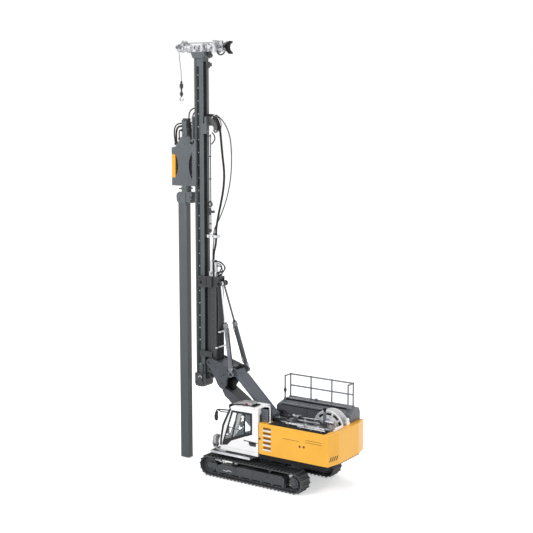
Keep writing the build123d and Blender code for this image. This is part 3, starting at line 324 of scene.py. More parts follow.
class Form:
    """A piece made of small solids, written in millimetres from the slewing axis."""

    def __init__(self):
        self.mesh = bmesh.new()

    def box(self, x, y, z, turn=0.0):
        """Block between two corners, turned about its middle as seen from the left."""
        middle = spot(*((a + b) / 2 for a, b in (x, y, z)))
        size = Matrix.Diagonal((*(abs(b - a) / 1000 for a, b in (x, y, z)), 1.0))
        turned = Matrix.Rotation(math.radians(-turn), 4, "Y")
        bmesh.ops.create_cube(self.mesh, size=1.0, matrix=Matrix.Translation(middle) @ turned @ size)
        return self

    def round(self, start, end, radius, tip=None, sides=20):
        """Cylinder, or cone with its own radius at the tip, between two points."""
        a, b = place(start), place(end)
        way = (b - a).to_track_quat("Z", "Y").to_matrix().to_4x4()
        bmesh.ops.create_cone(self.mesh, cap_ends=True, segments=sides, radius1=radius / 1000,
                              radius2=(radius if tip is None else tip) / 1000, depth=(b - a).length,
                              matrix=Matrix.Translation((a + b) / 2) @ way)
        return self

    def ball(self, centre, radius):
        bmesh.ops.create_uvsphere(self.mesh, u_segments=16, v_segments=10, radius=radius / 1000,
                                  matrix=Matrix.Translation(place(centre)))
        return self

    def bolt(self, centre, way, radius=0.55, height=0.4):
        """Six-sided head on a washer, standing on a face."""
        start, way = Vector(centre), Vector(way).normalized()
        self.round(start, start + way * height * 0.35, radius * 1.35, sides=16)
        self.round(start + way * height * 0.35, start + way * height, radius, radius * 0.9, sides=6)
        return self

    def ring(self, centre, way, radius, thickness, turns=28, sides=10):
        """Round ring about an axis."""
        centre, way = Vector(centre), Vector(way).normalized()
        first = way.orthogonal().normalized()
        second = way.cross(first)
        points = [centre + (first * math.cos(a) + second * math.sin(a)) * radius
                  for a in (2 * math.pi * count / turns for count in range(turns))]
        return self.tube(points, thickness, sides, closed=True)

    def tube(self, points, radius, sides=10, closed=False):
        """Round bar through a row of points."""
        points = [place(p) for p in points]
        count = len(points)
        radius = radius / 1000
        loops, normal = [], None
        for i, point in enumerate(points):
            before = points[i - 1] if i or closed else point
            after = points[(i + 1) % count] if i < count - 1 or closed else point
            way = (after - before).normalized()
            if normal is None:
                normal = way.orthogonal().normalized()
            normal = (normal - way * normal.dot(way)).normalized()
            other = way.cross(normal)
            turn = (2 * math.pi * k / sides for k in range(sides))
            loops.append([self.mesh.verts.new(point + (normal * math.cos(a) + other * math.sin(a)) * radius)
                          for a in turn])
        shift = 0
        if closed:
            gaps = [(loops[0][k].co - loops[-1][0].co).length for k in range(sides)]
            shift = gaps.index(min(gaps))
        for i in range(count if closed else count - 1):
            first, second = loops[i], loops[(i + 1) % count]
            move = shift if closed and i == count - 1 else 0
            for k in range(sides):
                self.mesh.faces.new((first[k], first[(k + 1) % sides], second[(k + 1 + move) % sides],
                                     second[(k + move) % sides]))
        if not closed:
            self.mesh.faces.new(list(reversed(loops[0])))
            self.mesh.faces.new(loops[-1])
        return self

    def bent(self, points, radius):
        """Round bar along the smooth curve near a row of points."""
        return self.tube(rounded(points), radius)

    def prism(self, first, second):
        """Solid between two outlines with the same number of points."""
        near, far = ([self.mesh.verts.new(place(p)) for p in outline] for outline in (first, second))
        count = len(near)
        self.mesh.faces.new(near)
        self.mesh.faces.new(list(reversed(far)))
        for k in range(count):
            self.mesh.faces.new((near[k], far[k], far[(k + 1) % count], near[(k + 1) % count]))
        return self

    def plate(self, corners, y):
        """Plate with an outline in X and Z, between two places across."""
        return self.prism(*([(x, at, z) for x, z in corners] for at in y))

    def flank(self, corners, x):
        """Plate with an outline in Y and Z, between two places along."""
        return self.prism(*([(at, y, z) for y, z in corners] for at in x))

    def pegs(self, places, y, radius, tip=None, sides=20):
        """Pegs on both sides, at places in X and Z, between two distances from the middle."""
        for side in (-1, 1):
            for x, z in places:
                self.round((x, side * y[0], z), (x, side * y[1], z), radius, tip, sides)
        return self

    def heads(self, places, y, radius=0.55, height=0.4):
        """Bolts on both sides, at places in X and Z, at a distance from the middle."""
        for side in (-1, 1):
            for x, z in places:
                self.bolt((x, side * y, z), (0, side, 0), radius, height)
        return self

    def pair(self, x, y, z, turn=0.0):
        """Block on both sides, between two distances from the middle."""
        for side in (-1, 1):
            self.box(x, (side * y[0], side * y[1]), z, turn)
        return self

    def done(self, name, material, body, edge=0.0):
        """Makes the piece, rounds its edges and rides it on a body."""
        bmesh.ops.recalc_face_normals(self.mesh, faces=self.mesh.faces)
        data = bpy.data.meshes.new(name)
        self.mesh.to_mesh(data)
        self.mesh.free()
        data.materials.append(mats[material])
        data.polygons.foreach_set("use_smooth", [True] * len(data.polygons))
        data.set_sharp_from_angle(angle=SHARP)
        piece = bpy.data.objects.new(name, data)
        bpy.context.scene.collection.objects.link(piece)
        if edge:
            round_edges(piece, edge)
        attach(piece, body)
        return piece


def rounded(points, steps=6, closed=False):
    """Smooth curve near a row of points, which keeps its ends."""
    points = [Vector(p) for p in points]
    ends = [] if closed else [points[0], points[-1]]
    count = len(points)
    path = [] if closed else [points[0]]
    spans = range(count) if closed else range(1, count - 1)
    for i in spans:
        before, here, after = points[i - 1], points[i], points[(i + 1) % count]
        start = ends[0] if ends and i == 1 else (before + here) / 2
        stop = ends[1] if ends and i == count - 2 else (here + after) / 2
        for k in range(steps) if closed else range(1, steps + 1):
            t = k / steps
            path.append(start * (1 - t) ** 2 + here * 2 * t * (1 - t) + stop * t * t)
    return path


def circle(centre, radius, count, start=0.0, rise=None):
    """Places spread evenly on a circle, or on an oval with its own rise, as pairs of numbers."""
    angles = (2 * math.pi * (k + start) / count for k in range(count))
    return [(centre[0] + radius * math.cos(a), centre[1] + (rise or radius) * math.sin(a)) for a in angles]


# Hoses

def smooth_line(name, points):
    """A curve with a smooth line along the route's points."""
    data = bpy.data.curves.new(name, "CURVE")
    data.dimensions = "3D"
    spline = data.splines.new("NURBS")
    spline.points.add(len(points) - 1)
    for target, point in zip(spline.points, points):
        target.co = (*place(point), 1.0)
    spline.order_u = 3
    spline.use_endpoint_u = True
    spline.resolution_u = 8
    data.resolution_u = 8
    data.bevel_resolution = 5
    data.use_fill_caps = True
    obj = bpy.data.objects.new(name, data)
    bpy.context.scene.collection.objects.link(obj)
    return obj


def tube_of(name, points, radius_mm, material):
    """Mesh tube along that line, and the points that it follows."""
    curve = smooth_line(name + "_line", points)
    line = bpy.data.meshes.new_from_object(curve)
    path = [v.co.copy() for v in line.vertices]
    bpy.data.meshes.remove(line)
    curve.data.bevel_depth = radius_mm / 1000
    mesh = bpy.data.meshes.new_from_object(curve)
    bpy.data.objects.remove(curve)
    mesh.name = name
    mesh.materials.clear()
    mesh.materials.append(mats[material])
    mesh.polygons.foreach_set("use_smooth", [True] * len(mesh.polygons))
    obj = bpy.data.objects.new(name, mesh)
    bpy.context.scene.collection.objects.link(obj)
    return obj, path


main_upper = [(66.0, 314.9), (59.5, 315.1), (53.6, 310.0), (51.8, 299.0), (50.0, 280.3), (47.9, 266.0),
              (48.6, 252.4), (51.4, 239.6), (54.3, 228.7), (56.5, 218.8), (57.3, 213.6), (57.3, 209.4)]
main_lower = [(57.3, 207.0), (57.3, 203.4), (58.7, 197.6), (60.2, 192.2), (60.2, 187.6)]
thin_upper = [(66.0, 315.2), (59.0, 315.6), (52.4, 311.2), (47.0, 304.5), (43.3, 295.5), (42.0, 283.0),
              (42.1, 268.5), (44.0, 254.5), (47.8, 241.0), (52.6, 229.5), (57.8, 220.0), (61.7, 214.0),
              (61.7, 209.4)]
thin_lower = [(61.7, 207.0), (61.7, 203.0), (63.0, 197.4), (63.0, 187.6)]
MAIN_Y, THIN_Y = 1.3, -1.4
MAIN_RADIUS, THIN_RADIUS = 0.95, 0.5

# name, route, y, radius, material, bodies, length of a free cord or None
for name, route, y, radius, material, pair, length in (
        ("main_hose_upper", main_upper, MAIN_Y, MAIN_RADIUS, "rubber", ("sledge", "mast"), 0.1143),
        ("thin_hose_upper", thin_upper, THIN_Y, THIN_RADIUS, "thin_rubber", ("sledge", "mast"), 0.1220),
        ("main_hose_lower", main_lower, MAIN_Y, MAIN_RADIUS, "rubber", ("mast", "carrier"), None),
        ("thin_hose_lower", thin_lower, THIN_Y, THIN_RADIUS, "thin_rubber", ("mast", "carrier"), None)):
    points = [(x, y, z) for x, z in route]
    tube, path = tube_of(name + "_tube", points, radius, material)
    tuple(place(points[0]))
    tuple(place(points[-1]))
    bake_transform(tube)
    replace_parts(tube, name)
    if length:
        tuple(place(points[0]))
        [tuple(p) for p in path]


# Tracks and undercarriage

TRACK_Y = 26.4
WHEEL_X, WHEEL_Z = 44.25, 9.5
SHOES, PITCH_RADIUS = 60, 8.0

for side, name in ((1, "left"), (-1, "right")):
    out = (0, side, 0)
    face = side * (TRACK_Y + 4.5)
    bolts, bright, hubs, pins = Form(), Form(), Form(), Form()
    for x in (-41, -25.5, -22, -9, -5, 5, 9, 24, 28, 34):
        bolts.bolt((x, face, 6.6), out, 0.45)
    for x in (-34, -22, -7, 7, 23, 34):
        bolts.bolt((x, face, 10.9), out, 0.4)
    for x in [(count - 3) * 11.0625 for count in range(7)]:
        hubs.round((x, face, 4.9), (x, face + side * 0.5, 4.9), 1.3, 1.0)
        hubs.bolt((x, face + side * 0.5, 4.9), out, 0.4)
    for x, radius in ((-WHEEL_X, 3.3), (WHEEL_X, 1.9)):
        start = face + side * (1.0 if x < 0 else 0.0)
        hubs.round((x, start, WHEEL_Z), (x, start + side * 0.5, WHEEL_Z), radius - 0.7, radius - 1.1)
        stand = face + (side * 0.4 if x < 0 else 0.0)
        for bolt_x, bolt_z in circle((x, WHEEL_Z), radius * 1.12, 8):
            bolts.bolt((bolt_x, stand, bolt_z), out, 0.35, 0.3)
    bright.plate([(20.0, 7.0), (24.8, 7.4), (25.2, 8.1), (20.6, 7.8)], (face, face + side * 0.35))
    bright.plate([(25.0, 6.7), (29.8, 6.9), (29.4, 7.5), (24.6, 7.2)], (face, face + side * 0.35))
    bright.round((28, face - side * 0.4, 14.6), (38, face - side * 0.4, 15.6), 0.7)
    bright.round((31, face - side * 0.4, 14.9), (33, face - side * 0.4, 15.1), 1.0)
    bright.round((14.3, face - side * 1.2, 15.3), (17.5, face - side * 1.2, 15.3), 0.6)
    bolts.done("frame_bolts_" + name, "frame", "undercarriage")
    bright.done("frame_bright_" + name, "silver", "undercarriage", 0.1)
    hubs.done("roller_caps_" + name, "frame", "undercarriage", 0.08)
    shoe = (4 * WHEEL_X + 2 * math.pi * PITCH_RADIUS) / SHOES
    for edge in (-1, 1):
        y = side * TRACK_Y + edge * 2.5
        for count in range(46):
            x = WHEEL_X - (count % 23 + 0.22) * shoe
            z = WHEEL_Z + (7.2 if count < 23 else -7.2)
            if abs(x) < 41:
                pins.round((x, y, z), (x, y + edge * 0.5, z), 0.55, 0.45, sides=12)
    pins.done("link_pins_" + name, "steel", "undercarriage")

ring = Form()
for x, y in circle((0, 0), 18.1, 24):
    ring.bolt((x, y, 22.0), (x, y, 0), 0.5, 0.4)
ring.ring((0, 0, 20.6), (0, 0, 1), 17.7, 0.35, turns=64)
ring.done("slewing_ring_bolts", "steel", "undercarriage")

# House

lips, marks, seams, stripes = Form(), Form(), Form(), Form()
for level in range(5):
    z = 49.8 - level * 4.2
    lips.plate([(-20.3, z - 0.9), (-11.8, z - 0.9), (-11.8, z + 0.5), (-20.3, z + 0.5)], (29.4, 30.35))
    marks.box((-19.9, -12.1), (29.02, 29.12), (z + 0.3, z + 2.5))
lips.done("louvre_lips", "cast_white", "upper", 0.3)
# Painted shade above each louvre lip, in a dark amber.
marks.done("louvre_painted_shade", "shade", "upper")
dots = Form()
for x, z in ((-48.9, 41.6), (-52.9, 41.8)):
    dots.round((x, 30.0, z), (x, 30.35, z), 1.05, 0.85, sides=20)
dots.done("side_dots", "red", "upper")
for x0, x1, z in ((-48.1, -32.1, 45.8), (-70.3, -54.5, 47.9), (-70.3, -54.5, 46.05)):
    seams.box((x0, x1), (29.95, 30.07), (z, z + 0.28))
for x0 in (-70.4, -46.8, -23.2):
    for low, high in (((x0, x0 + 22.4), (54.3, 54.55)), ((x0, x0 + 22.4), (30.2, 30.45)),
                      ((x0, x0 + 0.25), (30.2, 54.5)), ((x0 + 22.2, x0 + 22.45), (30.2, 54.5))):
        seams.box(low, (-30.06, -29.95), high)
    seams.round((x0 + 3, -30.3, 42.5), (x0 + 3, -30, 42.5), 0.9, 1.1, sides=16)
seams.done("panel_seams", "black", "upper")

vents = Form()
for x0 in (-66.0, -42.4):
    for level in range(6):
        z = 49.6 - level * 2.6
        vents.plate([(x0, z), (x0 + 12, z), (x0 + 12, z + 1.3), (x0, z + 1.3)], (-30.45, -29.9))
vents.done("right_vents", "black", "upper", 0.15)
hinges = Form()
for x0 in (-48.6, -25.0):
    for z in (33.0, 51.0):
        hinges.round((x0, -30.1, z - 1.4), (x0, -30.1, z + 1.4), 0.5)
        hinges.box((x0 - 1.6, x0 + 1.6), (-30.3, -30.0), (z - 1.0, z + 1.0))
hinges.done("right_hinges", "yellow", "upper", 0.1)

# Four slanted stripes on the tail's oblique left face.
face_from, face_to = Vector((-76.0, 30.0)), Vector((-79.0, 16.5))
along = (face_to - face_from).normalized()
outward = Vector((along.y, -along.x))
if outward.x > 0:
    outward = -outward
for count in range(4):
    start = face_from + along * (1.8 + count * 2.6) + outward * 0.05
    stop = start + along * 1.2
    lean = along * 2.2
    corners = [(*start, 32.4), (*stop, 32.4), (*(stop + lean), 36.2), (*(start + lean), 36.2)]
    deep = [(x - outward.x * 0.2, y - outward.y * 0.2, z) for x, y, z in corners]
    stripes.prism(corners, deep)
stripes.done("tail_stripes", "black", "upper")

rim = Form().box((-75.2, -73.2), (4.0, 16.6), (55.6, 56.2)).box((-75.4, -74.6), (4.0, 16.6), (56.1, 58.4))
rim.done("tail_rim", "white", "upper", 0.15)
cap = Form()
for low, high, radius, tip in ((55.6, 58.0, 1.9, 1.7), (58.0, 61.0, 1.2, 1.0), (59.2, 60.0, 1.5, 1.5)):
    cap.round((-73.0, -8, low), (-73.0, -8, high), radius, tip)
cap.done("filler_cap", "white", "upper", 0.15)

walk = Form()
for count in range(11):
    x = -70.5 + count * 5.0
    for y in (21.6, 24.2, 26.8):
        walk.round((x, y, 56.2), (x, y, 56.45), 0.7, 0.5, sides=12)
walk.done("walkway_studs", "deck", "upper")
lines = Form()
for y, x0, x1, radius in ((25.6, -70.6, -44.0, 0.65), (22.0, -68.0, -30.0, 0.8), (19.4, -71.0, -24.0, 0.45)):
    lines.tube([(x0, y, 57.0), (x1, y, 57.0)], radius * 0.8)
    for x in (x0 + 3, (x0 + x1) / 2, x1 - 3):
        lines.box((x - 0.6, x + 0.6), (y - 1.1, y + 1.1), (56.2, 57.6))
lines.done("walkway_pipes", "silver", "upper", 0.05)

# Hood with its railing

hood = Form()
for x in (-68.0, -52.0, -36.0, -20.0, -6.0):
    for y, z in ((-27.6, 64.8), (-15.0, 64.4)):
        hood.bolt((x, y, z - 0.2), (0, -0.5 if y < -20 else 0.6, 1), 0.5, 0.45)
for x0 in (-61.0, -44.0):
    for count in range(7):
        hood.box((x0 + count * 1.8, x0 + count * 1.8 + 0.9), (-25.2, -19.2), (66.15, 66.55))
hood.box((-28.0, -12.0), (-25.8, -18.6), (66.1, 66.5))
hood.round((-20.0, -22.2, 66.4), (-20.0, -22.2, 67.4), 2.2, 1.8)
hood.round((-33.0, -22.2, 66.2), (-33.0, -22.2, 68.4), 1.3, 1.3)
hood.round((-33.0, -22.2, 68.4), (-33.0, -22.2, 68.9), 1.7, 1.4)
hood.done("hood_fittings", "grey", "upper", 0.12)
seam = Form()
hood_line = [(-29.1, 55.6), (-29.1, 62.3), (-27.0, 66.3), (-18.5, 66.3), (-12.4, 62.3), (-12.4, 56.0),
             (-12.55, 56.0), (-12.55, 62.2), (-18.6, 66.15), (-26.9, 66.15), (-28.95, 62.2), (-28.95, 55.6)]
for x in (-60.0, -30.0):
    seam.flank(hood_line, (x, x + 0.3))
seam.done("hood_seams", "black", "upper")
# places of the railing's posts, along and across
posts = [(x, -26.0) for x in (-4.1, -25.4, -46.6, -68.0)] + [(x, -17.0) for x in (-4.1, -68.0)]
rails = Form()
for x, y in posts:
    rails.tube([(x, y, 66.2), (x, y, 86.6)], 0.72)
rails.tube([(-4.1, -17.0, 86.7), (-4.1, -26.0, 86.7), (-68.0, -26.0, 86.7), (-68.0, -17.0, 86.7)], 0.72)
rails.tube([(-4.1, -26.0, 76.6), (-68.0, -26.0, 76.6)], 0.72)
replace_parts(rails.done("railing_wires", "rail", "upper"), "railing")
lip = Form()
for end, y, z, radius in ((-5.0, -18.6, 66.8, 0.65), (-5.0, -27.4, 66.3, 0.5), (-3.0, -13.6, 63.2, 0.5)):
    lip.tube([(-68.2, y, z), (end, y, z)], radius)
lip.done("hood_rims", "rail", "upper")
gutter = Form().plate([(-68.2, 65.0), (-5.0, 65.0), (-5.0, 66.2), (-68.2, 66.2)], (-18.4, -17.0))
gutter.box((-68.2, -3.0), (-13.3, -12.2), (61.6, 62.3))
gutter.done("hood_gutters", "black", "upper")
feet = Form()
for x, y in posts:
    feet.round((x, y, 66.15), (x, y, 67.2), 1.4, 0.9)
    feet.ball((x, y, 87.0), 0.75)
feet.done("railing_feet", "grey", "upper")
grip = Form().ball((-4.1, -17.0, 74.0), 1.4).round((-4.1, -17.0, 72.0), (-4.1, -17.0, 76.0), 0.9)
grip.done("railing_ball", "black", "upper")

# Recess: winch, pump and pipes

WINCH_X, WINCH_Z = -57.6, 51.9
rope = Form()
for layer in range(2):
    for count in range(9 - layer):
        y = -3.7 - 0.75 * (count + layer * 0.5)
        rope.ring((WINCH_X, y, WINCH_Z), (0, 1, 0), 8.8 + layer * 0.6, 0.36, turns=36, sides=8)
rope.done("winch_rope", "thread", "winch")
gear = Form()
for x, z in circle((WINCH_X, WINCH_Z), 7.2, 10, start=0.5):
    gear.bolt((x, 0.5, z), (0, 1, 0), 0.45, 0.4)
for x, z in circle((WINCH_X, WINCH_Z), 4.0, 6):
    gear.bolt((x, 2.8, z), (0, 1, 0), 0.4, 0.35)
gear.ring((WINCH_X, -2.0, WINCH_Z), (0, 1, 0), 14.2, 0.55, turns=48)
gear.ring((WINCH_X, -2.0, WINCH_Z), (0, 1, 0), 9.9, 0.3, turns=40)
gear.done("winch_bolts", "cast_white", "winch")
# Painted shade: black arcs standing in for the dark seen through the winch flange's slots.
shade = Form()
for count in range(10):
    low, high = ((count + part) * math.pi / 5 for part in (0.14, 0.86))
    arc = [low + (high - low) * step / 5 for step in range(6)]
    outline = [(WINCH_X + r * math.cos(a), WINCH_Z + r * math.sin(a))
               for r, row in ((12.6, arc), (10.9, reversed(arc))) for a in row]
    shade.plate(outline, (-2.3, -1.95))
shade.done("winch_slot_painted_shade", "black", "winch")
drive = Form().round((-67.0, 4.6, 58.6), (-59.0, 4.6, 58.6), 1.5)
for count in range(4):
    x = -66.6 + count * 2.0
    drive.round((x, 4.6, 58.6), (x + 0.9, 4.6, 58.6), 1.9)
drive.done("winch_motor", "silver", "upper", 0.1)
post = Form()
post.plate([(-61.4, 38.0), (-53.8, 38.0), (-55.6, 50.0), (-56.4, 56.0), (-56.6, 67.0), (-58.6, 67.0),
            (-58.8, 56.0), (-59.6, 50.0)], (3.2, 5.2))
post.round((WINCH_X, 2.8, WINCH_Z), (WINCH_X, 5.6, WINCH_Z), 3.0, sides=24)
post.round((WINCH_X, 5.6, WINCH_Z), (WINCH_X, 6.2, WINCH_Z), 1.6, 1.3)
for z in (42.0, 60.0, 64.0):
    post.bolt((WINCH_X, 5.2, z), (0, 1, 0), 0.5, 0.4)
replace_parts(post.done("winch_post", "rail", "upper", 0.25), "winch_stands")
knob = Form().round((WINCH_X, 4.2, 67.0), (WINCH_X, 4.2, 68.2), 1.1, 0.9).ball((WINCH_X, 4.2, 69.0), 1.5)
knob.done("winch_knob", "deck", "upper")

unions = Form()
for y, z, radius, places in ((4.6, 58.6, 1.4, (-50, -40, -28)), (8.6, 57.0, 1.1, (-54, -42, -30)),
                             (12.0, 54.6, 1.3, (-57, -45, -33)), (16.0, 53.6, 0.8, (-57, -44, -33))):
    for x in places:
        unions.round((x, y, z), (x + 1.6, y, z), radius + 0.45, sides=6)
unions.done("pipe_unions", "silver", "upper", 0.08)
top = Form()
top.bent([(-18, 12, 58.5), (-18, 12, 63.7), (-22, 12, 65.0), (-26, 12, 62.4), (-30, 12, 60.6),
          (-33, 12, 60.0)], 0.7)
top.bent([(-20, 16, 58.5), (-20, 16, 61.6), (-25, 16, 62.2), (-31, 15, 58.6)], 0.6)
top.bent([(-34, 10, 60.0), (-40, 10, 61.6), (-50, 9.6, 61.6), (-58, 9.6, 58.5), (-60.2, 10.5, 56.5)], 0.7)
top.done("recess_hoses", "rubber", "upper")
tops = Form()
for x, y, z in ((-18, 12, 58.4), (-20, 16, 58.4), (-34, 10, 59.9)):
    tops.round((x, y, z), (x, y, z + 1.3), 1.15, sides=6)
tops.round((-56.0, 10, 61.0), (-25.4, 10, 60.3), 0.55)
tops.round((-60.4, 10, 51.1), (-36.6, 10, 52.0), 0.9)
tops.done("recess_fittings", "silver", "upper", 0.05)
pumps = Form()
for x in (-24.6, -20.2, -15.9):
    pumps.box((x - 0.4, x + 0.4), (8.7, 18.3), (38.0, 57.6))
for x in (-22.4, -18.0):
    pumps.bolt((x, 18.0, 50.0), (0, 1, 0), 0.6, 0.4)
    pumps.bolt((x, 18.0, 42.0), (0, 1, 0), 0.6, 0.4)
pumps.done("pump_ribs", "black", "upper", 0.2)

# Cab

trim, dark, pale = Form(), Form(), Form()
gasket = [(-0.9, 62.6), (20.6, 62.3), (30.9, 29.7), (25.4, 30.6), (21.3, 34.9), (7.0, 40.9), (-0.9, 43.8)]
inner = [(0.9, 61.0), (19.2, 60.8), (28.2, 37.0), (27.6, 35.4), (22.6, 37.4), (8.0, 42.9), (0.9, 45.6)]
for depth in ((29.75, 30.12), (10.65, 11.05)):
    for count in range(len(gasket)):
        after = (count + 1) % len(gasket)
        trim.plate([gasket[count], gasket[after], inner[after], inner[count]], depth)
trim.plate([(6.8, 41.6), (8.0, 41.2), (8.0, 61.6), (6.8, 61.6)], (29.7, 30.0))
trim.plate([(14.2, 61.4), (15.4, 61.4), (21.6, 36.4), (20.2, 36.8)], (29.3, 29.75))
trim.plate([(22.3, 64.4), (26.4, 56.9), (30.6, 48.2), (32.1, 40.5), (32.8, 35.2), (33.2, 29.4),
            (31.4, 29.4), (31.0, 35.0), (30.2, 40.0), (28.7, 47.4), (24.7, 55.8),
            (20.9, 63.2)], (29.6, 30.14))
trim.plate([(24.4, 47.4), (28.0, 47.4), (28.0, 40.2), (24.4, 40.2)], (28.0, 29.0))
trim.plate([(28.0, 47.0), (8.0, 45.6), (8.0, 45.0), (28.0, 46.3)], (28.6, 29.0))
trim.done("window_gaskets", "black", "upper")

slant = (Vector((21.6, 65.4)) - Vector((35.0, 32.6))).normalized()
facing = Vector((slant.y, -slant.x))
low, high = Vector((35.0, 32.6)) + slant * 2.0, Vector((21.6, 65.4)) - slant * 1.5


def over_screen(point, lift, y):
    """A place lifted off a point of the windscreen's slanted line, at some distance across."""
    x, z = point + facing * lift
    return x, y, z


screen = Form()
corners = [low - facing * 0.7, low - facing * 0.4, high - facing * 0.4, high - facing * 0.7]
screen.plate([tuple(c) for c in corners], (13.0, 27.8))
screen.box((-6.7, -6.4), (14.0, 26.8), (44.6, 61.6))
screen.done("screen_panes", "glass", "upper")
for y in (12.6, 27.6):
    dark.tube([over_screen(low, 0.1, y), over_screen(high, 0.1, y)], 0.5)
for end in (low, high):
    dark.tube([over_screen(end, 0.1, 12.6), over_screen(end, 0.1, 27.6)], 0.5)
for z in (44.4, 61.8):
    dark.tube([(-7.1, 13.6, z), (-7.1, 27.2, z)], 0.4)
for y in (13.6, 27.2):
    dark.tube([(-7.1, y, 44.4), (-7.1, y, 61.8)], 0.4)
wiper = over_screen(low + slant * 6, 0.7, 20.0)
dark.tube([(wiper[0] - 4, 20.0, wiper[2] - 4), wiper, over_screen(low + slant * 24, 0.7, 22.5)], 0.3)
dark.tube([over_screen(low + slant * 10, 0.55, 22.0), over_screen(low + slant * 30, 0.55, 23.0)], 0.28)
dark.done("screen_seal", "black", "upper")

seams = Form()
seams.plate([(-4.8, 36.9), (3.0, 36.9), (1.4, 33.6), (-4.8, 33.8)], (29.97, 30.1))
seams.plate([(7.9, 37.9), (-6.7, 37.5), (-6.7, 36.9), (7.9, 37.1)], (29.96, 30.14))
seams.round((-8.7, 30.0, 41.7), (-8.7, 30.3, 41.7), 1.0, 0.8)
seams.done("cab_seams", "black", "upper")
handle = Form()
handle.bent([(-3.6, 30.0, 35.2), (-3.6, 30.7, 35.2), (2.2, 30.7, 35.2), (2.2, 30.0, 35.2)], 0.4)
handle.done("cab_handles", "dark", "upper")
for z in (33.0, 58.0):
    pale.round((8.9, 30.1, z - 1.3), (8.9, 30.1, z + 1.3), 0.5)
    pale.box((7.4, 10.4), (29.95, 30.3), (z - 0.9, z + 0.9))
pale.box((-6.4, 18.0), (28.6, 30.0), (66.4, 66.9))
pale.done("cab_hinges", "white", "upper", 0.12)

seat = Form()
seat.plate([(2.4, 36.4), (11.4, 36.0), (12.0, 37.4), (11.4, 39.3), (4.6, 39.6), (3.6, 52.6), (1.0, 52.4),
            (0.6, 39.0)], (15.2, 25.3))
seat.box((1.2, 3.4), (17.4, 23.0), (52.6, 56.0))
seat.box((3.6, 11.0), (13.4, 14.9), (42.0, 43.2))
seat.box((3.6, 11.0), (25.6, 27.1), (42.0, 43.2))
seat.plate([(3.5, 29.8), (9.5, 29.8), (8.5, 36.4), (4.4, 36.4)], (16.6, 23.9))
for y in (14.1, 26.3):
    seat.round((10.4, y, 43.2), (11.2, y, 46.2), 0.35)
    seat.ball((11.3, y, 46.8), 0.8)
seat.done("driver_seat", "black", "upper", 0.5)
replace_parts(bpy.data.objects["driver_seat"], "cab_seat")
console = Form()
console.plate([(17.0, 29.8), (29.6, 29.8), (29.6, 33.0), (24.0, 40.0), (21.4, 41.6), (20.6, 39.6),
               (17.0, 33.0)], (12.4, 15.0))
console.box((19.6, 21.0), (12.6, 17.2), (44.0, 48.6))
console.round((20.2, 14.0, 40.0), (20.2, 14.0, 44.2), 0.4)
for y in (18.6, 21.8):
    console.round((21.0, y, 29.8), (18.6, y, 42.4), 0.35)
    console.ball((18.5, y, 42.8), 0.75)
    console.box((20.4, 25.4), (y - 1.0, y + 1.0), (30.0, 30.9), turn=10)
console.box((-5.4, 1.0), (12.6, 14.6), (29.8, 43.6))
console.done("cab_controls", "dark", "upper", 0.2)

roof = Form()
roof.plate([(23.4, 65.4), (21.4, 67.6), (13.3, 69.8), (6.1, 70.7), (2.6, 70.4), (1.2, 69.2), (2.6, 67.6),
            (6.0, 66.9)], (18.4, 27.0))
for y in (20.0, 25.6):
    roof.bolt((4.4, y, 70.3), (0, 0, 1), 0.45, 0.3)
for count in range(4):
    x, z = 7.4 + count * 2.2, 70.3 - count * 0.7
    roof.plate([(x, z), (x + 1.1, z - 0.35), (x + 1.1, z + 0.1), (x, z + 0.45)], (19.6, 25.6))
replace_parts(roof.done("roof_unit", "roof", "upper", 0.5), "roof_guard")
under = Form().box((21.6, 24.0), (17.6, 29.4), (63.6, 66.8))
under.plate([(22.4, 65.6), (21.4, 66.9), (14.0, 68.3), (-1.6, 68.4), (-1.6, 67.5), (14.0, 67.4),
             (20.6, 65.4)], (18.0, 27.4))
under.done("roof_shadow_line", "jet", "upper", 0.15)
Form().round((6.8, 26.4, 68.8), (6.8, 27.4, 68.8), 1.5, 1.2).done("roof_lamp", "red", "upper", 0.1)
lid = Form()
lid.box((-14.3, -7.2), (17.7, 25.8), (66.3, 67.0)).box((-14.2, -13.9), (18.6, 24.9), (57.4, 64.8))
lid.round((-14.2, 21.8, 61.2), (-14.6, 21.8, 61.2), 0.9, 0.7)
for z in (58.6, 60.6, 62.6, 64.6):
    lid.box((-13.0, -8.6), (25.3, 25.8), (z - 0.5, z + 0.3))
lid.done("rear_box_trim", "dark", "upper", 0.15)

mirror = Form()
mirror.bent([(22.9, 29.6, 61.9), (24.4, 30.2, 61.7), (31.0, 30.2, 61.4), (36.0, 30.2, 60.8),
             (37.0, 30.1, 59.0), (37.4, 30.0, 56.6)], 0.62)
mirror.bent([(23.6, 29.6, 60.0), (25.0, 30.2, 59.8), (31.7, 30.2, 59.4), (34.0, 30.2, 60.0),
             (35.6, 30.2, 60.8)], 0.5)
mirror.plate([(36.2, 59.0), (37.8, 58.4), (38.8, 54.6), (38.4, 51.4), (36.8, 50.4),
              (36.0, 53.0)], (28.4, 30.8))
mirror.done("mirror_arm", "black", "upper", 0.3)
glass = Form().plate([(35.9, 57.6), (36.15, 57.6), (36.0, 52.6), (35.75, 52.6)], (28.8, 30.4))
glass.done("mirror_glass", "chrome", "upper")
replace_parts(bpy.data.objects["mirror_arm"], "mirror")
bow = [(-15.8, 55.6), (-15.8, 67.4), (-15.4, 69.1), (-13.4, 69.4), (-8.6, 68.6), (-7.0, 67.2)]
rail = Form().bent([(x, 24.5, z) for x, z in bow], 0.6)
rail.round((-15.8, 24.5, 55.6), (-15.8, 24.5, 56.4), 1.3, 1.0)
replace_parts(rail.done("cab_rail", "cast_white", "upper"), "rear_handrail")

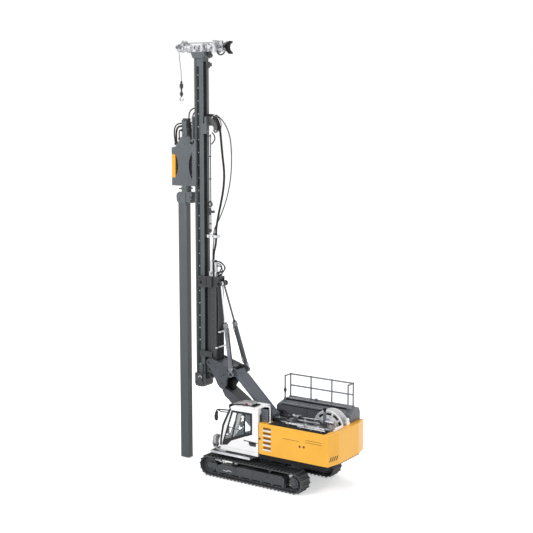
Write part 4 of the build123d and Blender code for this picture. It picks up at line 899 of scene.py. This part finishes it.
LAMP_Y, LAMP_Z = 25.0, 30.6
lamp_guard = Form()
lamp_guard.tube([(40.9, y, z) for y, z in circle((LAMP_Y, LAMP_Z), 5.2, 28, rise=5.8)], 0.5, closed=True)
for offset in (-3, -1.5, 0, 1.5, 3):
    y, z = LAMP_Y + offset, LAMP_Z + offset * 1.2
    tall = 5.4 * math.sqrt(1 - (offset / 4.6) ** 2)
    wide = 4.4 * math.sqrt(1 - (offset * 1.2 / 5.6) ** 2)
    lamp_guard.tube([(40.9, y, LAMP_Z - tall), (40.9, y, LAMP_Z + tall)], 0.2, sides=6)
    lamp_guard.tube([(40.9, LAMP_Y - wide, z), (40.9, LAMP_Y + wide, z)], 0.2, sides=6)
lamp_guard.flank(circle((LAMP_Y, LAMP_Z), 5.1, 24, rise=5.7), (40.75, 40.85))
for side in (-1, 1):
    lamp_guard.tube([(36.0, LAMP_Y + side * 3.6, 24.4), (40.9, LAMP_Y + side * 3.4, 27.0)], 0.4)
lamp_guard.done("lamp_guard", "guard", "upper")
lamp_body = Form()
for x0, x1, radius, tip in ((37.6, 39.4, 2.2, 3.2), (39.4, 39.9, 3.2, 3.0)):
    lamp_body.round((x0, 26.0, 30.4), (x1, 26.0, 30.4), radius, tip)
lamp_body.done("lamp_shell", "guard", "upper", 0.1)
lens = Form().round((39.9, 26.0, 30.4), (40.3, 26.0, 30.4), 2.7, 2.4)
lens.done("lamp_lens", "glass", "upper")

mesh = Form()
for count in range(26):
    x = 0.6 + count * 1.56
    mesh.tube([(x, 30.3, 23.45), (x, 32.6, 23.45)], 0.14, sides=6)
for y in (30.6, 31.4, 32.2):
    mesh.tube([(-0.2, y, 23.6), (40.6, y, 23.6)], 0.14, sides=6)
mesh.done("step_mesh", "steel", "upper")
sill = Form()
for x in (2.0, 14.0, 26.0):
    sill.bolt((x, 33.0, 23.0), (0, 1, 0), 0.45, 0.35)
sill.done("step_bolts", "dark", "upper")

# Boom, arm and crank

caps = Form()
for x, z, radius in ((7.0, 43.0, 2.3), (-2.6, 54.6, 2.1)):
    caps.pegs([(x, z)], (10.0, 10.6), radius, radius - 0.4)
    caps.pegs([(x, z)], (10.6, 10.85), 0.9, 0.7)
    caps.pair((x - 2.8, x + 2.8), (10.0, 10.35), (z - 0.5, z + 0.5), turn=35)
caps.done("pin_caps_foot", "dark", "upper", 0.08)

foot_pin, head_pin = Vector((7.0, 43.0)), Vector((43.0, 77.0))
along = (head_pin - foot_pin).normalized()
above = Vector((-along.y, along.x))


def beside(step, offset):
    """A place along the lower boom's pins, and off that line."""
    point = foot_pin + along * step + above * offset
    return point.x, point.y


beam = Form()
beam_outline = ((-4.4, -3.0), (-3.0, -3.8), (8.0, -7.0), (38.0, -7.4), (43.0, -8.3), (48.2, -6.8), (50.2, -4.6),
                (49.6, -2.8), (40.0, -0.6), (31.0, 1.2), (22.0, 2.2), (8.0, 8.6), (4.0, 8.6), (-3.4, 4.0),
                (-4.6, 2.0))
beam.plate([beside(*p) for p in beam_outline], (-7.6, 7.6))
for side in (-1, 1):
    beam.plate([beside(*p) for p in ((12.0, -5.4), (40.0, -6.0), (44.0, -4.6), (36.0, -2.6), (14.0, -0.6))],
               (side * 7.4, side * 7.85))
beam.heads([beside(14.0, 0.6), beside(24.0, 0.6), beside(34.0, -1.6)], 7.6, 0.6, 0.35)
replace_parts(beam.done("boom_beam", "crank", "boom", 0.5), "lower_boom")
hub = Form().round((42.2, -3.4, 78.4), (42.2, 3.4, 78.4), 4.0, sides=28)
hub.plate([(38.2, 80.0), (45.8, 78.0), (44.6, 72.4), (38.6, 72.0)], (-3.0, 3.0))
hub.round((42.8, -8.2, 77.4), (42.8, 8.2, 77.4), 1.5)
hub.pegs([(42.2, 78.4)], (3.4, 4.2), 2.6, 2.2)
hub.done("boom_hub", "jet", "boom", 0.25)
edges = Form()
for side in (-1, 1):
    for low, high, outer, inner in ((16.0, 16.75, 7.45, 6.7), (13.5, 14.0, 7.5, 6.9)):
        flange = [beside(*p) for p in ((-2.0, low), (46.0, low), (46.0, high), (-2.0, high))]
        edges.plate(flange, (side * outer, side * inner))
edges.done("arm_flanges", "arm", "arm", 0.1)

# the carrier's pin on the crank, and the pin of the cylinders' feet
PIN_X, PIN_Z = 60.0, 96.0
FOOT_X, FOOT_Z = 33.4, 88.6

crank = Form()
sheet = [(62.6, 94.6), (62.2, 97.6), (59.6, 99.4), (55.4, 99.0), (50.2, 97.4), (41.3, 94.9), (36.5, 93.4),
         (32.6, 93.4), (29.8, 92.4), (29.6, 90.4), (30.4, 87.4), (33.6, 85.9), (37.6, 86.2), (40.4, 82.6),
         (41.0, 79.0), (41.2, 76.4), (43.0, 74.0), (45.6, 73.0), (48.3, 74.4), (50.4, 76.8), (54.5, 84.6),
         (58.4, 89.8)]
for side in (-1, 1):
    crank.plate(sheet, (side * 8.0, side * 10.0))
    crank.plate([(58.4, 97.4), (51.4, 95.8), (42.4, 93.4), (43.6, 89.6), (47.0, 82.4), (50.0, 83.4),
                 (55.6, 91.4)], (side * 9.8, side * 10.3))
crank.pegs([(PIN_X, PIN_Z)], (10.0, 10.7), 2.4, 2.2, sides=28)
crank.pegs([(FOOT_X, FOOT_Z)], (10.0, 10.7), 2.7, 2.5, sides=28)
crank.pegs([(FOOT_X, FOOT_Z)], (10.0, 14.4), 1.0)
crank.plate([(58.0, 98.6), (50.0, 96.4), (41.4, 94.0), (36.6, 93.2), (36.8, 92.2), (41.6, 93.0),
             (50.2, 95.4), (58.2, 97.6)], (-8.2, 8.2))
for x, z in ((PIN_X, PIN_Z), (FOOT_X, FOOT_Z)):
    crank.round((x, -8.4, z), (x, 8.4, z), 1.5)
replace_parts(crank.done("crank_plates", "crank", "crank", 0.35), "bell_crank")
dark = Form()
dark.pegs([(PIN_X, PIN_Z)], (10.6, 10.85), 1.3, 1.1)
dark.heads([(45.6, 78.6), (48.0, 88.0), (52.0, 92.0), (43.4, 86.4), (39.4, 91.0)], 10.0, 0.5, 0.4)
dark.pegs([(FOOT_X, FOOT_Z)], (14.2, 14.7), 1.5, 1.2)
dark.pair((34.0, 40.0), (3.0, 6.6), (86.4, 90.0))
for side in (-1, 1):
    dark.ring((36.0, side * 5.0, 91.6), (0, 1, 0), 2.2, 0.6)
dark.done("crank_fittings", "black", "crank", 0.08)

# Tilting cylinders

# the pin of the rods' eyes on the carrier's head
EYE_X, EYE_Z = 51.6, 166.6

for side, name in ((1, "near"), (-1, "far")):
    low, high = Vector((FOOT_X, side * 12.6, FOOT_Z)), Vector((EYE_X, side * 2.0, EYE_Z))
    way = (high - low).normalized()
    away = Vector((0, side, 0)).cross(way).normalized()
    collar = Form()
    for start, stop, radius in ((3.2, 5.6, 2.2), (41.6, 44.8, 2.25)):
        collar.round(low + way * start, low + way * stop, radius)
    collar.round(low + way * 40.6, low + way * 41.6, 2.0, 2.25)
    for step in (7.0, 40.0):
        collar.round(low + way * step - away * 1.2, low + way * step - away * 2.9, 0.8, sides=6)
    collar.done("cylinder_collars_" + name, "steel", "barrel_" + name, 0.1)
    line = Form()
    steps = ((7.0, 2.6), (9.0, 3.2), (12.0, 2.5), (36.0, 2.5), (38.6, 3.1), (40.0, 2.6))
    line.bent([low + way * step - away * off for step, off in steps], 0.4)
    line.done("cylinder_line_" + name, "rubber", "barrel_" + name)
    wiper = Form().round(low + way * 45.1, low + way * 46.2, 1.4, 1.15)
    wiper.done("cylinder_wiper_" + name, "black", "barrel_" + name)

# Carrier

band = Form()
for y in (-3.6, -1.8, 0.0, 1.8, 3.6):
    line = rounded([(53.7, y, 128.4 - y), (53.0, y, 140.0), (53.4, y, 152.0), (54.0, y * 0.9, 164.0)], 5)
    band.tube(line, 0.82, sides=12)
band.done("hose_band", "band", "carrier")
bolts = Form()
bolts.heads([(58.6, z) for z in (104.0, 116.0, 128.0, 140.0, 152.0)], 5.0, 0.5, 0.35)
bolts.heads([(63.0, 164.6), (63.0, 170.6), (70.2, 171.0), (70.2, 164.6)], 6.0)
bolts.pegs([(EYE_X, EYE_Z)], (5.2, 5.8), 1.7, 1.4)
bolts.pegs([(66.0, 101.8)], (5.95, 6.3), 1.3, 1.0)
bolts.done("carrier_bolts", "dark", "carrier")
welds = Form().pair((54.9, 56.6), (4.95, 5.25), (99.0, 162.6))
for z in (110.0, 134.0, 158.0):
    welds.pair((56.6, 60.0), (4.95, 5.2), (z, z + 0.9))
welds.done("carrier_ribs", "dark", "carrier", 0.1)
marks = Form()
for x, z in (((58.1, 58.7), (163.4, 172.4)), ((64.8, 65.4), (163.4, 172.4)), ((69.4, 73.6), (170.0, 170.5))):
    marks.pair(x, (5.98, 6.1), z)
marks.pegs([(71.3, 166.8)], (5.9, 6.35), 1.4, 1.2)
marks.pegs([(EYE_X, EYE_Z)], (5.7, 6.2), 1.5, 1.3)
marks.done("carrier_marks", "jet", "carrier")
ties = Form()
for z, reach in ((109.0, 9.6), (122.5, 5.0)):
    for y in (1.0 - reach, reach - 1.0):
        ties.round((51.2, y, z + 0.6), (53.0, y, z + 0.6), 0.7, sides=6)
ties.done("carrier_ties", "tie", "carrier", 0.08)
side_lines = Form()
for y, top in ((6.0, 118.0), (7.3, 113.0)):
    side_lines.bent([(52.4, y, 98.9), (52.3, y, 104.0), (52.3, y, 109.6), (52.8, y * 0.9, top),
                     (54.0, y * 0.62, top + 7), (54.6, 4.9, top + 10)], 0.5)
side_lines.done("carrier_side_hoses", "rubber", "carrier")
bracket = Form()
bracket.plate([(63.8, 172.4), (63.8, 186.6), (59.2, 187.0), (57.4, 184.6), (57.6, 172.4)], (-1.9, 1.6))
bracket.box((60.2, 62.6), (1.4, 2.4), (176.0, 185.0))
bracket.plate([(64.6, 172.4), (64.6, 176.6), (57.0, 176.6), (57.0, 172.4)], (-2.6, 2.4))
for z in (178.0, 183.4):
    bracket.bolt((58.8, 1.6, z), (0, 1, 0), 0.5)
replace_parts(bracket.done("manifold_plate", "cast_white", "carrier", 0.3), "hose_manifold")
ports = Form()
for y, x in ((MAIN_Y, 60.2), (THIN_Y, 63.0)):
    ports.round((x, y, 185.4), (x, y, 187.1), 1.3, sides=6)
ports.pegs([(62.0, 175.0), (59.4, 175.0)], (2.3, 3.2), 0.9, 0.8, sides=6)
ports.done("manifold_ports", "steel", "carrier", 0.06)
lines = Form()
lines.bent([(60.2, 1.4, 186.9), (59.8, 2.5, 184.0), (59.4, 2.9, 179.0), (59.2, 2.6, 173.0)], 0.8)
lines.bent([(57.6, 2.4, 186.6), (55.2, 2.2, 186.6), (50.0, 1.6, 184.6), (47.2, 1.2, 181.0),
            (49.4, 0.8, 177.8), (54.4, 0.6, 176.4)], 0.6)
lines.bent([(57.4, 0.6, 181.6), (54.0, 0.6, 182.6), (51.4, 0.8, 180.4), (53.2, 0.8, 178.6),
            (55.0, 0.8, 174.6)], 0.55)
lines.bent([(57.4, -1.0, 183.6), (54.6, -1.2, 184.0), (52.6, -1.4, 180.0), (52.8, -1.4, 174.4)], 0.45)
lines.done("manifold_hoses", "rubber", "carrier")
blocks = Form()
for x, y, z in ((55.6, 0.7, 175.6), (53.2, 0.0, 174.4), (57.2, 2.3, 186.4), (54.9, 0.8, 173.4)):
    blocks.round((x, y, z - 1.0), (x, y, z + 0.9), 1.05, sides=6)
blocks.done("manifold_caps", "black", "carrier", 0.06)

# Mast

dots = Form().pegs([(73.9, 360.7 - count * 11.22) for count in range(25)], (3.68, 4.08), 0.62, 0.45, sides=14)
dots.done("mast_dots", "silver", "mast")
Form().pair((71.5, 72.5), (4.15, 4.32), (92.0, 362.0)).done("mast_strips", "mast", "mast", 0.05)
wire = Form().tube([(67.6, -5.0, 298.0), (67.6, -5.0, 214.0)], 0.45)
wire.bent([(67.6, -5.0, 214.0), (67.6, -4.9, 212.4), (67.2, -3.6, 211.4), (66.0, -2.4, 210.8)], 0.45)
for z in (218.0, 238.0, 258.0, 278.0, 296.0):
    wire.box((67.0, 68.4), (-5.5, -4.2), (z, z + 1.0))
wire.done("mast_wire", "frame", "mast")
# Painted shade: dark strips in the mast's side grooves and along its rear edge.
grooves = Form().pair((72.7, 75.85), (3.6, 3.76), (92.0, 364.0)).pair((67.85, 68.0), (1.6, 3.4), (92.0, 361.0))
grooves.box((66.2, 67.9), (1.6, 1.66), (92.0, 361.0))
grooves.done("mast_grooves", "groove", "mast")
knobs = Form()
for z in (212.0, 214.0, 228.2, 231.8):
    knobs.bolt((65.0, 1.05, z), (0, 1, 0), 0.4, 0.3)
knobs.heads([(59.6, 208.2), (63.6, 208.2)], 3.0, 0.45)
knobs.plate([(69.2, 211.8), (68.4, 207.6), (66.0, 207.2), (66.0, 208.6)], (2.4, 3.0))
knobs.done("clip_bolts", "dark", "mast")
sleeves = Form()
for x, y, radius in ((57.3, MAIN_Y, MAIN_RADIUS), (61.7, THIN_Y, THIN_RADIUS)):
    sleeves.round((x, y, 209.3), (x, y, 211.0), radius + 0.3, radius + 0.2)
    sleeves.round((x, y, 207.1), (x, y, 206.0), radius + 0.3, radius + 0.2)
sleeves.done("hose_sleeves", "black", "mast", 0.06)
base = Form()
base.box((69.4, 71.3), (5.75, 6.0), (75.5, 82.6))
base.box((69.4, 71.3), (4.15, 4.4), (83.2, 92.0))
base.heads([(69.0, 74.6), (77.0, 74.6), (77.0, 81.4)], 5.8, 0.5)
base.pegs([(64.8, 80.4)], (3.2, 3.6), 1.6, 1.3)
base.done("foot_fittings", "black", "mast", 0.05)
arc = [(72.9 + 1.8 * math.cos(a), 5.9, 79.0 + 1.8 * math.sin(a)) for a in (math.pi * k / 12 for k in range(13))]
Form().tube(arc, 0.35).done("foot_handle", "silver", "mast")

# Masthead

REAR_SHEAVE, FRONT_SHEAVE = (50.4, 0.0, 373.2), (100.2, -7.6, 374.4)

head = Form()
head.heads([(59.4, 372.4), (71.4, 370.8), (71.4, 374.0), (82.4, 370.6), (82.4, 373.4), (63.4, 370.4)], 4.6, 0.5)
for side in (-1, 1):
    for (x, y, z), reach in ((REAR_SHEAVE, 5.1), (FRONT_SHEAVE, 3.5)):
        head.round((x, y + side * reach, z), (x, y + side * (reach + 0.5), z), 1.5, 1.2, sides=6)
for x in (64.0, 68.0):
    head.bolt((x, 3.4, 376.3), (0, 0, 1), 0.45, 0.4)
head.done("head_bolts", "steel", "mast")
path = []
for (x, y, z), begin in ((FRONT_SHEAVE, 0.0), (REAR_SHEAVE, math.pi / 2)):
    for count in range(9):
        angle = begin + count * math.pi / 16
        path.append((x + 3.7 * math.cos(angle), y, z + 3.7 * math.sin(angle)))
path.append((46.7, 0.0, 369.0))
Form().tube(path, 0.4).done("head_rope", "thread", "mast")
loop = Form().bent([(54.4, 2.4, 369.7), (53.9, 2.4, 367.4), (49.1, 2.4, 365.6), (46.2, 2.4, 368.4)], 0.6)
loop.done("head_loop", "black", "mast")
claw = Form()
claw.plate([(40.5, 377.7), (41.6, 377.9), (44.6, 376.2), (46.0, 373.4), (45.2, 370.0), (42.4, 367.0),
            (41.0, 366.9), (40.5, 367.6), (43.0, 370.4), (43.7, 372.6), (43.0, 375.0)], (-2.4, 2.4))
claw.pair((44.4, 47.2), (2.4, 3.6), (372.2, 374.2))
claw.round((42.0, -3.0, 376.6), (42.0, 3.0, 376.6), 0.7).round((42.0, -3.0, 368.2), (42.0, 3.0, 368.2), 0.7)
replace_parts(claw.done("rear_claw", "jet", "mast", 0.3), "rear_hanger")
for name, (x0, y0, z0) in (("rear", REAR_SHEAVE), ("front", FRONT_SHEAVE)):
    hubs = Form()
    for x, z in circle((x0, z0), 2.0, 6):
        for side in (-1, 1):
            hubs.bolt((x, y0 + side * 1.2, z), (0, side, 0), 0.3, 0.25)
    hubs.done(name + "_sheave_bolts", "steel", "sheave_" + name)
hook = Form().box((101.2, 101.8), (-9.3, -5.9), (339.0, 339.6))
for y in (-9.0, -6.2):
    hook.round((101.5, y, 340.4), (101.5, y, 341.0), 0.4)
hook.ring((101.5, -7.6, 342.0), (0, 0, 1), 1.2, 0.3)
hook.done("hook_ring", "steel", "mast")

# Drive, sledge and clamp

bolts = Form()
bolts.heads([(78.4, z) for z in (256.0, 262.0, 268.0, 274.0, 280.0, 286.0)], 7.2, 0.5, 0.35)
bolts.heads([(81.4, 254.6), (88.0, 254.6), (95.4, 254.6), (102.4, 255.4), (81.4, 283.6), (95.4, 283.6),
             (102.4, 284.2), (82.6, 289.0), (96.6, 286.0)], 4.0)
bolts.heads([(85.0, 242.0), (96.6, 240.2), (88.0, 249.4), (93.6, 249.4)], 4.6, 0.5, 0.5)
bolts.done("drive_bolts", "drive", "sledge")
Form().pegs([(90.7, 289.3)], (4.0, 4.5), 0.75, 0.6).done("drive_rivets", "steel", "sledge")
floors = Form().pair((80.6, 88.0), (2.5, 2.72), (258.0, 281.5)).pair((95.6, 101.0), (2.5, 2.72), (258.6, 280.6))
floors.done("drive_slot_floors", "black", "sledge")
loops = Form()
loops.bent([(93.4, 0.6, 307.4), (98.4, 0.8, 307.6), (102.4, 1.0, 304.8), (103.5, 1.0, 300.0),
            (103.0, 1.0, 294.0), (102.2, 1.0, 288.6)], 0.6)
loops.bent([(93.4, 2.5, 305.0), (97.0, 2.5, 305.0), (99.6, 2.5, 301.8), (100.2, 2.5, 296.4),
            (99.8, 2.5, 290.4)], 0.85)
loops.bent([(93.4, 3.2, 301.4), (95.6, 3.2, 301.6), (96.2, 3.2, 299.4), (96.0, 3.2, 293.4)], 0.6)
loops.bent([(86.4, 1.4, 306.5), (86.6, 1.2, 313.0), (86.2, 0.6, 318.0), (83.4, -2.0, 321.2),
            (79.4, -5.6, 320.9), (76.2, -7.2, 318.4), (76.0, -7.4, 313.5)], 0.55)
loops.bent([(85.4, 2.2, 306.6), (82.8, 2.0, 307.8), (82.0, 1.6, 311.0), (82.4, 0.2, 316.6),
            (80.6, -4.2, 318.2), (78.6, -7.2, 316.4), (78.4, -7.4, 313.5)], 0.55)
loops.bent([(83.6, 2.4, 305.4), (81.0, 2.4, 305.0), (79.9, 2.6, 302.4), (81.0, 3.0, 299.6),
            (82.4, 3.0, 298.6)], 0.55)
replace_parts(loops.done("drive_loops", "rubber", "sledge"), "drive_hoses")
fittings = Form()
for x, y, z in ((93.0, 0.6, 307.4), (93.0, 2.5, 305.0), (93.0, 3.2, 301.4)):
    fittings.round((x - 0.4, y, z), (x + 1.4, y, z), 0.95, sides=6)
for x, y, z in ((102.2, 1.0, 288.4), (99.8, 2.5, 290.2), (96.0, 3.2, 293.2), (82.4, 3.0, 297.8)):
    fittings.round((x, y, z - 0.3), (x, y, z + 1.4), 1.05, sides=6)
for x0, x1, z0, z1 in ((84.2, 87.6, 303.4, 308.6), (83.0, 86.4, 296.8, 302.6), (81.2, 83.6, 298.0, 300.6)):
    fittings.box((x0, x1), (1.0, 3.9), (z0, z1))
    fittings.bolt(((x0 + x1) / 2, 3.9, (z0 + z1) / 2), (0, 1, 0), 0.6, 0.5)
fittings.round((85.8, 1.6, 308.4), (86.4, 1.4, 310.6), 1.3, 0.9, sides=6)
fittings.round((84.6, 3.0, 302.0), (84.6, 3.0, 304.0), 1.2, sides=6)
fittings.done("drive_fittings", "black", "sledge", 0.15)
prongs = Form()
for x in (87.8, 90.2, 92.2):
    prongs.box((x - 0.4, x + 0.4), (-2.6, 2.6), (310.2, 311.9))
prongs.done("drive_prongs", "drive", "sledge", 0.15)
corner = Form()
for x, z in ((80.0, 290.6), (78.4, 290.0)):
    corner.bolt((x, 7.4, z), (0, 1, 0), 0.75, 0.4)
corner.done("sledge_bolts", "jet", "sledge")
saddle = Form()
for count in range(5):
    angle = math.radians(98 + count * 18)
    spoke = [(66.0 + r * math.cos(angle + d), 301.5 + r * math.sin(angle + d)) for r, d in
             ((7.6, -0.03), (12.5, -0.02), (12.5, 0.02), (7.6, 0.03))]
    saddle.plate(spoke, (-3.2, 3.2))
saddle.done("saddle_ribs", "saddle", "sledge", 0.15)
wire = Form()
wire.bent([(63.6, -2.0, 299.6), (61.4, -2.0, 298.0), (60.2, -2.0, 295.2), (61.0, -2.0, 292.0),
           (64.2, -2.0, 289.4)], 0.5)
wire.bent([(65.6, 4.2, 314.4), (59.6, 4.0, 315.6), (54.6, 3.8, 312.0), (52.6, 3.6, 306.0),
           (53.4, 3.4, 301.0), (56.6, 2.8, 299.4), (58.4, 2.4, 301.6)], 0.6)
wire.bent([(65.6, -3.4, 313.6), (59.4, -3.6, 314.4), (55.0, -3.6, 310.0), (54.2, -3.4, 304.0),
           (56.4, -2.8, 300.0), (58.4, -2.4, 301.6)], 0.35)
wire.done("saddle_wires", "rubber", "sledge")
ties = Form().ring((59.3, 0.0, 313.2), (0.75, 0, 0.66), 2.9, 0.4, turns=24)
ties.done("saddle_tie", "tie", "sledge")
jaw = Form().ring((93.5, 0.0, 249.3), (0, 0, 1), 4.4, 0.5, turns=36)
jaw.done("neck_ring", "dark", "sledge")


# Studio

def math_node(tree, operation, first, second):
    """Output of a Math node for two values, each a number or an output."""
    node = tree.nodes.new("ShaderNodeMath")
    node.operation = operation
    for slot, value in zip(node.inputs, (first, second)):
        if isinstance(value, float):
            slot.default_value = value
        else:
            tree.links.new(value, slot)
    return node.outputs[0]


floor_mesh = bpy.data.meshes.new("floor")
reach = 6.0
corners = [(-reach, -reach, 0), (reach, -reach, 0), (reach, reach, 0), (-reach, reach, 0)]
floor_mesh.from_pydata(corners, [], [(0, 1, 2, 3)])
floor = bpy.data.objects.new("floor", floor_mesh)
floor.location.z = -0.0002
bpy.context.scene.collection.objects.link(floor)
floor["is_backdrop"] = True
ground = bpy.data.materials.new("floor")
ground.use_nodes = True
tree = ground.node_tree
shader = tree.nodes["Principled BSDF"]
shader.inputs["Base Color"].default_value = (0.93, 0.93, 0.93, 1)
shader.inputs["Roughness"].default_value = 0.9
shader.inputs["Specular IOR Level"].default_value = 0.0
rays = tree.nodes.new("ShaderNodeLightPath").outputs
seen = math_node(tree, "MAXIMUM", rays["Is Camera Ray"], rays["Is Glossy Ray"])
shader.inputs["Emission Color"].default_value = (1, 1, 1, 1)
tree.links.new(math_node(tree, "MULTIPLY", seen, 0.45), shader.inputs["Emission Strength"])
floor_mesh.materials.append(ground)

world = bpy.data.worlds.new("studio")
bpy.context.scene.world = world
world.use_nodes = True
tree = world.node_tree
background = tree.nodes["Background"]
rays = tree.nodes.new("ShaderNodeLightPath").outputs
seen = math_node(tree, "MAXIMUM", rays["Is Camera Ray"], rays["Is Glossy Ray"])
seen = math_node(tree, "MAXIMUM", seen, rays["Is Transmission Ray"])
strength = tree.nodes.new("ShaderNodeMapRange")
strength.inputs["To Min"].default_value = 0.68
strength.inputs["To Max"].default_value = 1.0
tree.links.new(seen, strength.inputs["Value"])
background.inputs["Color"].default_value = (1, 1, 1, 1)
tree.links.new(strength.outputs["Result"], background.inputs["Strength"])


def lamp(name, at, size, power):
    data = bpy.data.lights.new(name, "AREA")
    data.shape = "DISK"
    data.size = size
    data.energy = power
    obj = bpy.data.objects.new(name, data)
    obj.location = at
    obj.rotation_mode = "QUATERNION"
    obj.rotation_quaternion = (Vector((0, 0, 0.12)) - Vector(at)).to_track_quat("-Z", "Y")
    bpy.context.scene.collection.objects.link(obj)


lamp("key", (0.35, 1.40, 1.00), 0.7, 11.5)
lamp("fill", (-1.5, 0.15, 0.6), 0.9, 5.5)
lamp("top", (-0.1, -0.3, 1.7), 0.8, 3.0)

bpy.context.scene.view_settings.view_transform = "Standard"

low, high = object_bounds()
{"cad": [list(cad_low), list(cad_high)], "visual": [list(low), list(high)]}
